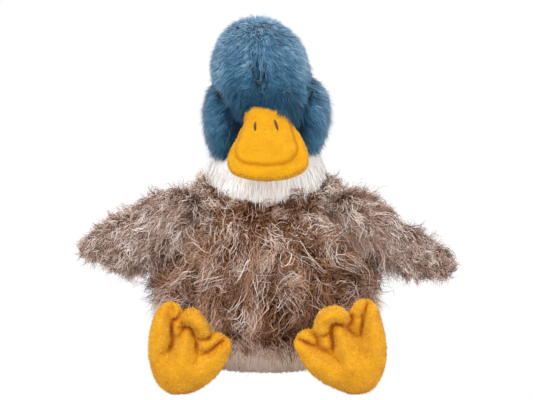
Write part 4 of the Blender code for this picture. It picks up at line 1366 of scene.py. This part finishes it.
def wing_layers(reach, rise):
    """Each layer of a wing's coat, by the reach to the tip and the rise above the hinge."""
    def length(p):
        """Shorter towards the tip and along the upper edge."""
        return (0.0205 - 0.0105 * reach(p)) * (1 - 0.35 * smoothstep(0.004, 0.012, rise(p)))

    def tone(p):
        return 0.64 + 0.05 * reach(p) + 0.06 * wobble(p, 0.03, 111) + 0.05 * wobble(p, 0.010, 112)
    frizz = Coat(
        lambda p: 0.0115 - 0.0030 * reach(p), 0.00062, steps=5, lift=0.34, droop=0.15, jitter=0.42,
        curl=0.0020, turns=1.5, lock=0.50, spread=0.35, tone=lambda p: tone(p) - 0.16,
        tone_spread=0.40, roll=0.5, soft_share=0.5,
    )
    locks = Coat(
        length, 0.00048, steps=7, lift=0.26, droop=0.25, jitter=0.24, curl=0.0025, turns=1.4,
        lock=0.80, lock_share=0.22, spread=0.42, tone=tone, tone_spread=0.50, lock_tone=0.72,
        roll=0.4, soft_share=0.55,
    )
    return ("frizz", frizz, 6000), ("locks", locks, 6500)


def make_wing(name, side, finishes):
    droop, hinge = WING_DROOP[name] + WING_SLUMP, HINGES[f"wing_{name}_flap"]
    along = np.array((side * math.cos(droop), 0.0, -math.sin(droop)))
    up = np.array((side * math.sin(droop), 0.0, math.cos(droop)))
    skin = wing_skin(name, hinge, (along, up, np.array((0.0, -1.0, 0.0))))
    skin_object(
        f"wing_skin_{name}", skin, finishes["brown_cloth"], f"wing_{name}",
        (f"wing_front_cover_{name}", f"wing_back_cover_{name}", f"wing_filling_{name}"),
    )

    def reach(p):
        return np.clip(((p - hinge) @ along) / 0.070, 0, 1)
    rng = np.random.default_rng(91 + side)
    for layer, coat, count in wing_layers(reach, lambda p: (p - hinge) @ up):
        p, n = skin.sample(hairs(count), rng, lambda p, n: 1.0 * (body_form(p) > -0.004))
        flow = along - UP * (0.42 - 0.20 * reach(p))[:, None] + 0.62 * swirl(p, 0.018, 101)
        grow(
            f"wing_{layer}_{name}", p, n, flow, coat, finishes["dun"], f"wing_{name}", 121 + side
        )


# Millimetres from the hinge: backwards and across
TAIL_OUTLINE = (
    (-15.0, 6.0), (-6.0, 14.5), (4.0, 15.5), (13.0, 18.5), (23.0, 20.0), (32.0, 14.0),
    (38.0, 6.0), (40.0, 0.0), (38.0, -6.0), (32.0, -14.0), (23.0, -20.0), (13.0, -18.5),
    (4.0, -15.5), (-6.0, -14.5), (-15.0, -6.0),
)


def make_tail(finishes):
    hinge = HINGES["tail_wag"]
    back = np.array((0.0, math.cos(TAIL_LIFT), math.sin(TAIL_LIFT)))
    across = np.array((-1.0, 0.0, 0.0))
    out = np.cross(back, across)
    inside = outline_depth(curve_through(np.array(TAIL_OUTLINE) * MM, 2))
    form = local_form(pillow(inside, 0.0070, 0.014), hinge, (back, across, out))
    skin = surface_net(form, hinge - 0.045, hinge + 0.045, 0.0026, 1)
    skin_object(
        "tail_skin", skin, finishes["brown_cloth"], "tail",
        ("tail_upper_cover", "tail_lower_cover", "tail_filling"),
    )
    rng = np.random.default_rng(131)
    for name, finish, count, length, up in (
        ("tail_fur_upper", "brown", 3400, 0.015, 1), ("tail_fur_lower", "cream", 2800, 0.011, -1)
    ):
        p, n = skin.sample(
            hairs(count), rng,
            lambda p, n, up=up: 1.0 * ((n @ out) * up > -0.1) * (body_form(p) > -0.003)
        )
        coat = Coat(
            length, 0.0006, steps=5, lift=0.3, droop=0.1, jitter=0.22, curl=0.0014, lock=0.6,
            tone=0.52, tone_spread=0.4,
        )
        flow = back - 0.25 * UP + 0.3 * swirl(p, 0.02, 7)
        grow(name, p, n, flow, coat, finishes[finish], "tail", 133 + up)


# Legs and feet

def make_leg(name, finishes):
    """A plain stuffed tube, gathered where it meets the body and the foot."""
    hip, ankle = HINGES[f"hip_{name}_lift"], HINGES[f"ankle_{name}_flex"]

    def form(p):
        t, away = to_segment(p, hip, ankle)
        ends = np.minimum(distance(p, hip) - 0.0134, distance(p, ankle) - 0.0119)
        fold = 0.0004 * np.sin(t * 22 + 1.5 * np.sin(p[:, 2] * 300))
        fold = fold * smoothstep(0, 0.2, t) * smoothstep(1, 0.8, t)
        return blend(away - LEG_RADIUS, ends, 0.004) + fold
    low, high = np.minimum(hip, ankle) - 0.017, np.maximum(hip, ankle) + 0.017
    skin_object(
        f"leg_{name}_cover", surface_net(form, low, high, 0.0012, 2), finishes["velour"],
        f"leg_{name}", (f"leg_cover_{name}", f"leg_filling_{name}"),
        # Painted shade where the leg's form closes in on itself, as the crease attribute
        closeness(form, (0.001, 0.002), 0.08, 0.4),
    )


# Each foot as photographed, in photo pixels: its outline, its stuffed rolls as (x, y, radius,
# height), and its creases
FOOT_MIDDLE_PX = {"right": (190.0, 348.0), "left": (340.3, 347.0)}
FOOT_OUTLINE_PX = {
    "right": (
        (157, 310), (160, 306), (164, 302.8), (169, 301), (174, 301.5), (179, 304), (182, 308.5),
        (183.5, 311), (186, 308.5), (190, 307), (195, 307.3), (200, 310.3), (204, 315.5),
        (207, 322), (209.5, 329), (213, 333.5), (217, 332.2), (222, 333.6), (228, 338),
        (231, 342), (231, 347.5), (228.5, 356), (224, 365), (217, 375), (208, 383.2),
        (198, 390), (187, 394), (176, 394.8), (167, 392.5), (158.5, 385), (152.5, 373),
        (149.3, 358), (149, 342), (151.5, 325),
    ),
    "left": (
        (294, 342), (298, 334), (303, 329.8), (308, 328.6), (312.5, 328.2), (314.3, 321),
        (318, 312.5), (324, 307.4), (332, 304.8), (340, 305.8), (345.5, 309.5), (348.5, 311.5),
        (351.5, 306.5), (356, 300.5), (362, 298.3), (368, 298.4), (373, 301.5), (377.5, 308.5),
        (381, 319), (384, 331), (386, 344), (386.2, 357), (384, 370), (379, 382), (371, 390.8),
        (360, 394.6), (348, 393.6), (335, 388), (321, 380.5), (309, 371), (301, 359),
        (295.3, 348.5),
    ),
}
FOOT_ROLLS_PX = {
    "right": (
        ((158.5, 352, 12, -1.0), (159.5, 330, 11.5, 0.5), (165, 311, 9.5, 0.5)),
        ((177, 306, 5.5, -1.5), (176, 313, 4.6, -0.5)),
        ((176.5, 330, 4.8, 0.0), (178.5, 322.5, 5.3, 1.0), (182, 318, 5.0, 1.0)),
        ((185, 316.5, 6.5, 2.0), (192.5, 315, 8.0, 3.0), (199, 320, 8.3, 3.0),
         (202.5, 328, 7.5, 2.0), (204, 334, 5.5, 0.5)),
        ((183, 358, 14, -1.0), (184.5, 343, 10, 0.5), (187.5, 331, 5.5, -0.5)),
        ((205.5, 345, 7.5, 0.0), (213, 340.5, 6.5, -0.5), (219.5, 337.3, 4.8, -1.0)),
        ((198, 371, 15, -1.0), (213, 357.5, 12, 0.0), (226, 345, 7, 0.0)),
    ),
    "left": (
        ((374, 355, 12.5, -1.0), (374.5, 332, 11, 0.5), (370.5, 311, 8, 0.5)),
        ((360, 304.5, 6.5, -0.5), (355, 311, 5.5, -0.5)),
        ((357, 319, 6, -1.5), (357.5, 329, 4, -2.5)),
        ((322, 328, 7.5, 0.5), (321, 319.5, 7.5, 2.0), (326.5, 313.5, 8.2, 3.0),
         (334, 311.8, 7.8, 3.2), (341, 313.6, 7.0, 2.6), (345, 318, 5.2, 1.6)),
        ((352, 362, 15, -1.0), (346, 346, 12, 0.5), (339, 329, 7, 0.5)),
        ((326.5, 342.5, 7.2, -0.5), (325.5, 336.5, 5.5, -0.5)),
        ((311, 339.5, 6.2, -1.0), (303, 336, 6.3, -1.0)),
        ((334, 374, 15, -1.0), (316, 359, 12.5, 0.0), (300.5, 345, 7.5, 0.0)),
    ),
}
FOOT_CREASES_PX = {
    "right": (
        ((170, 306.5), (169.3, 314), (171.5, 323), (172, 333), (173.5, 340.5), (169.5, 347.5),
         (162, 351.5)),
        ((183.5, 310), (180, 314), (176.5, 318.2), (172, 318.5)),
        ((180, 325), (184, 327.3), (190, 325.5), (193, 330.5), (196, 338), (196.3, 347),
         (197.8, 355), (194.5, 361)),
        ((182, 313.5), (182.6, 320), (185.5, 326)),
        ((197.8, 355), (203.5, 352.7), (209.5, 349.8), (215.5, 345), (222.5, 340.3)),
        ((198.5, 338), (204, 336.8), (209.5, 337)),
    ),
    "left": (
        ((366, 303.5), (364.8, 312), (363, 322), (361.2, 330), (360.5, 337)),
        ((360.5, 337), (354.5, 333.8), (347.5, 328), (340.5, 323.3), (333, 320.5)),
        ((351.5, 312.8), (351, 319), (347.3, 325.5)),
        ((332.8, 320.5), (331, 329.5), (332.3, 338), (333.2, 354.5)),
        ((300.5, 338.5), (310, 343.2), (320, 348.3), (333.2, 354.5), (338.5, 359.5)),
        ((315.5, 334.5), (317.5, 340), (318.2, 347)),
        ((319.5, 334.2), (325, 332.8), (330.8, 329.8)),
    ),
}


def roll_height(p, roll):
    """Top of a stuffed roll above the middle of the sole, and far below beside the roll."""
    best = np.full(len(p), -1.0)
    for a, b in zip(roll, roll[1:]):
        t, across = to_segment(p, a[:2], b[:2])
        radius, height = (a[i] + (b[i] - a[i]) * t for i in (2, 3))
        top = radius * (1 - np.minimum(across / radius, 1) ** 1.8) * 0.95
        best = np.maximum(best, height + top - 2.0 * np.maximum(across - radius, 0))
    return best


class Foot:
    """Front and back of a foot over the plane of its sole."""

    def __init__(self, name):
        middle = np.array(FOOT_MIDDLE_PX[name])

        def placed(points):
            return (np.array(points) - middle) * (FOOT_PIXEL, -FOOT_PIXEL)
        outline = curve_through(placed(FOOT_OUTLINE_PX[name]), 3)
        lines = [placed(line) for line in FOOT_CREASES_PX[name]]
        rolls = []
        for roll in FOOT_ROLLS_PX[name]:
            x, y, radii, heights = np.array(roll).T
            places = placed(np.column_stack((x, y)))
            rolls.append(np.column_stack((places, radii * FOOT_PIXEL, heights * MM + 0.0020)))
        low, high = outline.min(0) - 0.004, outline.max(0) + 0.004
        self.lowest = outline[:, 1].min()
        self.edge = outline_depth(outline, 0.004)
        self.crease = FlatMap(
            lambda flat: np.min([line_distance(flat, line) for line in lines], axis=0), low, high
        )
        self.front = FlatMap(lambda flat: self.height(flat, rolls), low, high)

    def height(self, flat, rolls):
        edge, near = self.edge(flat), self.crease(flat)
        sole = smoothstep(0.004, -0.016, flat[:, 1])
        top = 0.0120 * rounded(edge, 0.024) * (0.14 + 0.86 * sole)
        for roll in rolls:
            top = -blend(-top, -roll_height(flat, roll), 0.0010 + 0.0080 * sole)
        valley = 0.0024 * hill(near, 0.0034) + 0.0013 * hill(near, 0.0009)
        return np.minimum(top, 0.0140 * rounded(edge, 0.0090)) - valley * rounded(edge, 0.004)

    def form(self, q):
        flat = q[:, :2]
        edge = self.edge(flat)
        back = -0.0085 * rounded(edge, 0.010)
        return np.maximum.reduce((q[:, 2] - self.front(flat), back - q[:, 2], -edge)) * 0.8


def make_foot(name, finishes):
    foot = Foot(name)
    out = (FOOT_MIDDLE_PX[name][0] - PHOTO_MIDDLE_PX) * FOOT_PIXEL
    centre = np.array((out, FOOT_FRONT, FLOOR_CLEAR - foot.lowest))
    form = local_form(foot.form, centre, ((1.0, 0.0, 0.0), UP, (0.0, -1.0, 0.0)))
    low, high = centre - (0.036, 0.015, 0.037), centre + (0.036, 0.012, 0.039)
    skin = surface_net(form, low, high, 0.0009, 2)

    # Painted shade along the creases and in the hollows, as the crease attribute
    def crease(points, normals):
        q = points - centre
        near = foot.crease(q[:, [0, 2]])
        folds = 0.22 * hill(near, 0.0009) + 0.20 * hill(near, 0.0035)
        deep = closeness(form, (0.0015, 0.0035), 0.05, 0.45)(points, normals)
        return np.minimum((folds + 0.55 * deep) * (q[:, 1] < 0.002), 1.0)
    skin_object(
        f"foot_{name}_skin", skin, finishes["velour"], f"foot_{name}",
        (f"foot_sole_{name}", f"foot_top_{name}", f"foot_filling_{name}"), crease,
    )
    # Painted shade: the nap is darker where the crease shade falls
    nap(
        f"foot_nap_{name}", skin, 15000,
        lambda p, n: 0.78 - 0.62 * crease(p, n) + 0.08 * wobble(p, 0.012, 8), finishes,
        f"foot_{name}", 62,
    )


# The stage

def make_floor():
    """A pale floor that the camera sees as plain white."""
    g = Graph("floor_finish", 0.9, specular=0.1)
    path = g.sock(g.node("ShaderNodeLightPath"), "Is Camera Ray")
    glow = g.node("ShaderNodeEmission", {}, {"Color": WHITE, "Strength": 1.0})
    g.shader.inputs["Base Color"].default_value = (0.80, 0.80, 0.80, 1)
    joined = g.node("ShaderNodeMixShader", {}, {"Fac": path})
    g.tree.links.new(g.shader.outputs[0], joined.inputs[1])
    g.tree.links.new(glow.outputs[0], joined.inputs[2])
    g.tree.links.new(joined.outputs[0], g.tree.nodes["Material Output"].inputs["Surface"])
    mesh = bpy.data.meshes.new("floor")
    corners = [(x * FLOOR_HALF, y * FLOOR_HALF, 0) for x, y in ((-1, -1), (1, -1), (1, 1), (-1, 1))]
    mesh.from_pydata(corners, [], [(0, 1, 2, 3)])
    mesh.materials.append(g.material)
    add_object("floor", mesh)


def make_surround():
    """Even light from all round, and plain white where the camera sees it."""
    world = bpy.data.worlds.new("studio")
    bpy.context.scene.world = world
    world.use_nodes = True
    tree = world.node_tree
    lit, seen = tree.nodes["Background"], tree.nodes.new("ShaderNodeBackground")
    for node, strength in ((lit, 0.55), (seen, 1.0)):
        node.inputs["Color"].default_value = WHITE
        node.inputs["Strength"].default_value = strength
    ray, pick = tree.nodes.new("ShaderNodeLightPath"), tree.nodes.new("ShaderNodeMixShader")
    for i, socket in enumerate((ray.outputs["Is Camera Ray"], lit.outputs[0], seen.outputs[0])):
        tree.links.new(socket, pick.inputs[i])
    tree.links.new(pick.outputs[0], tree.nodes["World Output"].inputs["Surface"])


def aim(obj, place, target):
    obj.location = place
    obj.rotation_euler = (target - Vector(place)).to_track_quat("-Z", "Y").to_euler()


def make_lights():
    for name, place, size, power in (
        ("key", (-0.75, -1.15, 1.35), 0.9, 21.0),
        ("fill", (1.15, -1.05, 0.65), 1.1, 10.5),
        ("top", (0.1, 0.5, 1.35), 1.0, 10.0),
    ):
        data = bpy.data.lights.new(name, "AREA")
        data.shape, data.size, data.energy = "SQUARE", size, power
        aim(add_object(name, data), place, Vector((0, 0, 0.13)))


def make_camera():
    """The photo's view, from a little above."""
    camera = bpy.data.cameras.new("camera")
    camera.sensor_width = SENSOR_MM
    camera.lens = SENSOR_MM * CAMERA_DISTANCE / CAMERA_SPAN
    camera.clip_start, camera.clip_end = 0.05, 50.0
    obj = add_object("camera", camera)
    backward = Vector((0, -math.cos(CAMERA_TILT), math.sin(CAMERA_TILT)))
    aim(obj, CAMERA_TARGET + backward * CAMERA_DISTANCE, CAMERA_TARGET)
    bpy.context.scene.camera = obj
    bpy.context.scene.view_settings.view_transform = "Standard"


def main():
    finishes = make_finishes()
    make_floor()
    make_surround()
    make_lights()
    make_camera()
    make_body(finishes)
    make_neck(finishes)
    bill = Bill()
    make_head(bill, finishes)
    make_bill(bill, finishes)
    for name, side in SIDES:
        make_wing(name, side, finishes)
    make_tail(finishes)
    for make_limb in (make_leg, make_foot):
        for name, _ in SIDES:
            make_limb(name, finishes)


main()
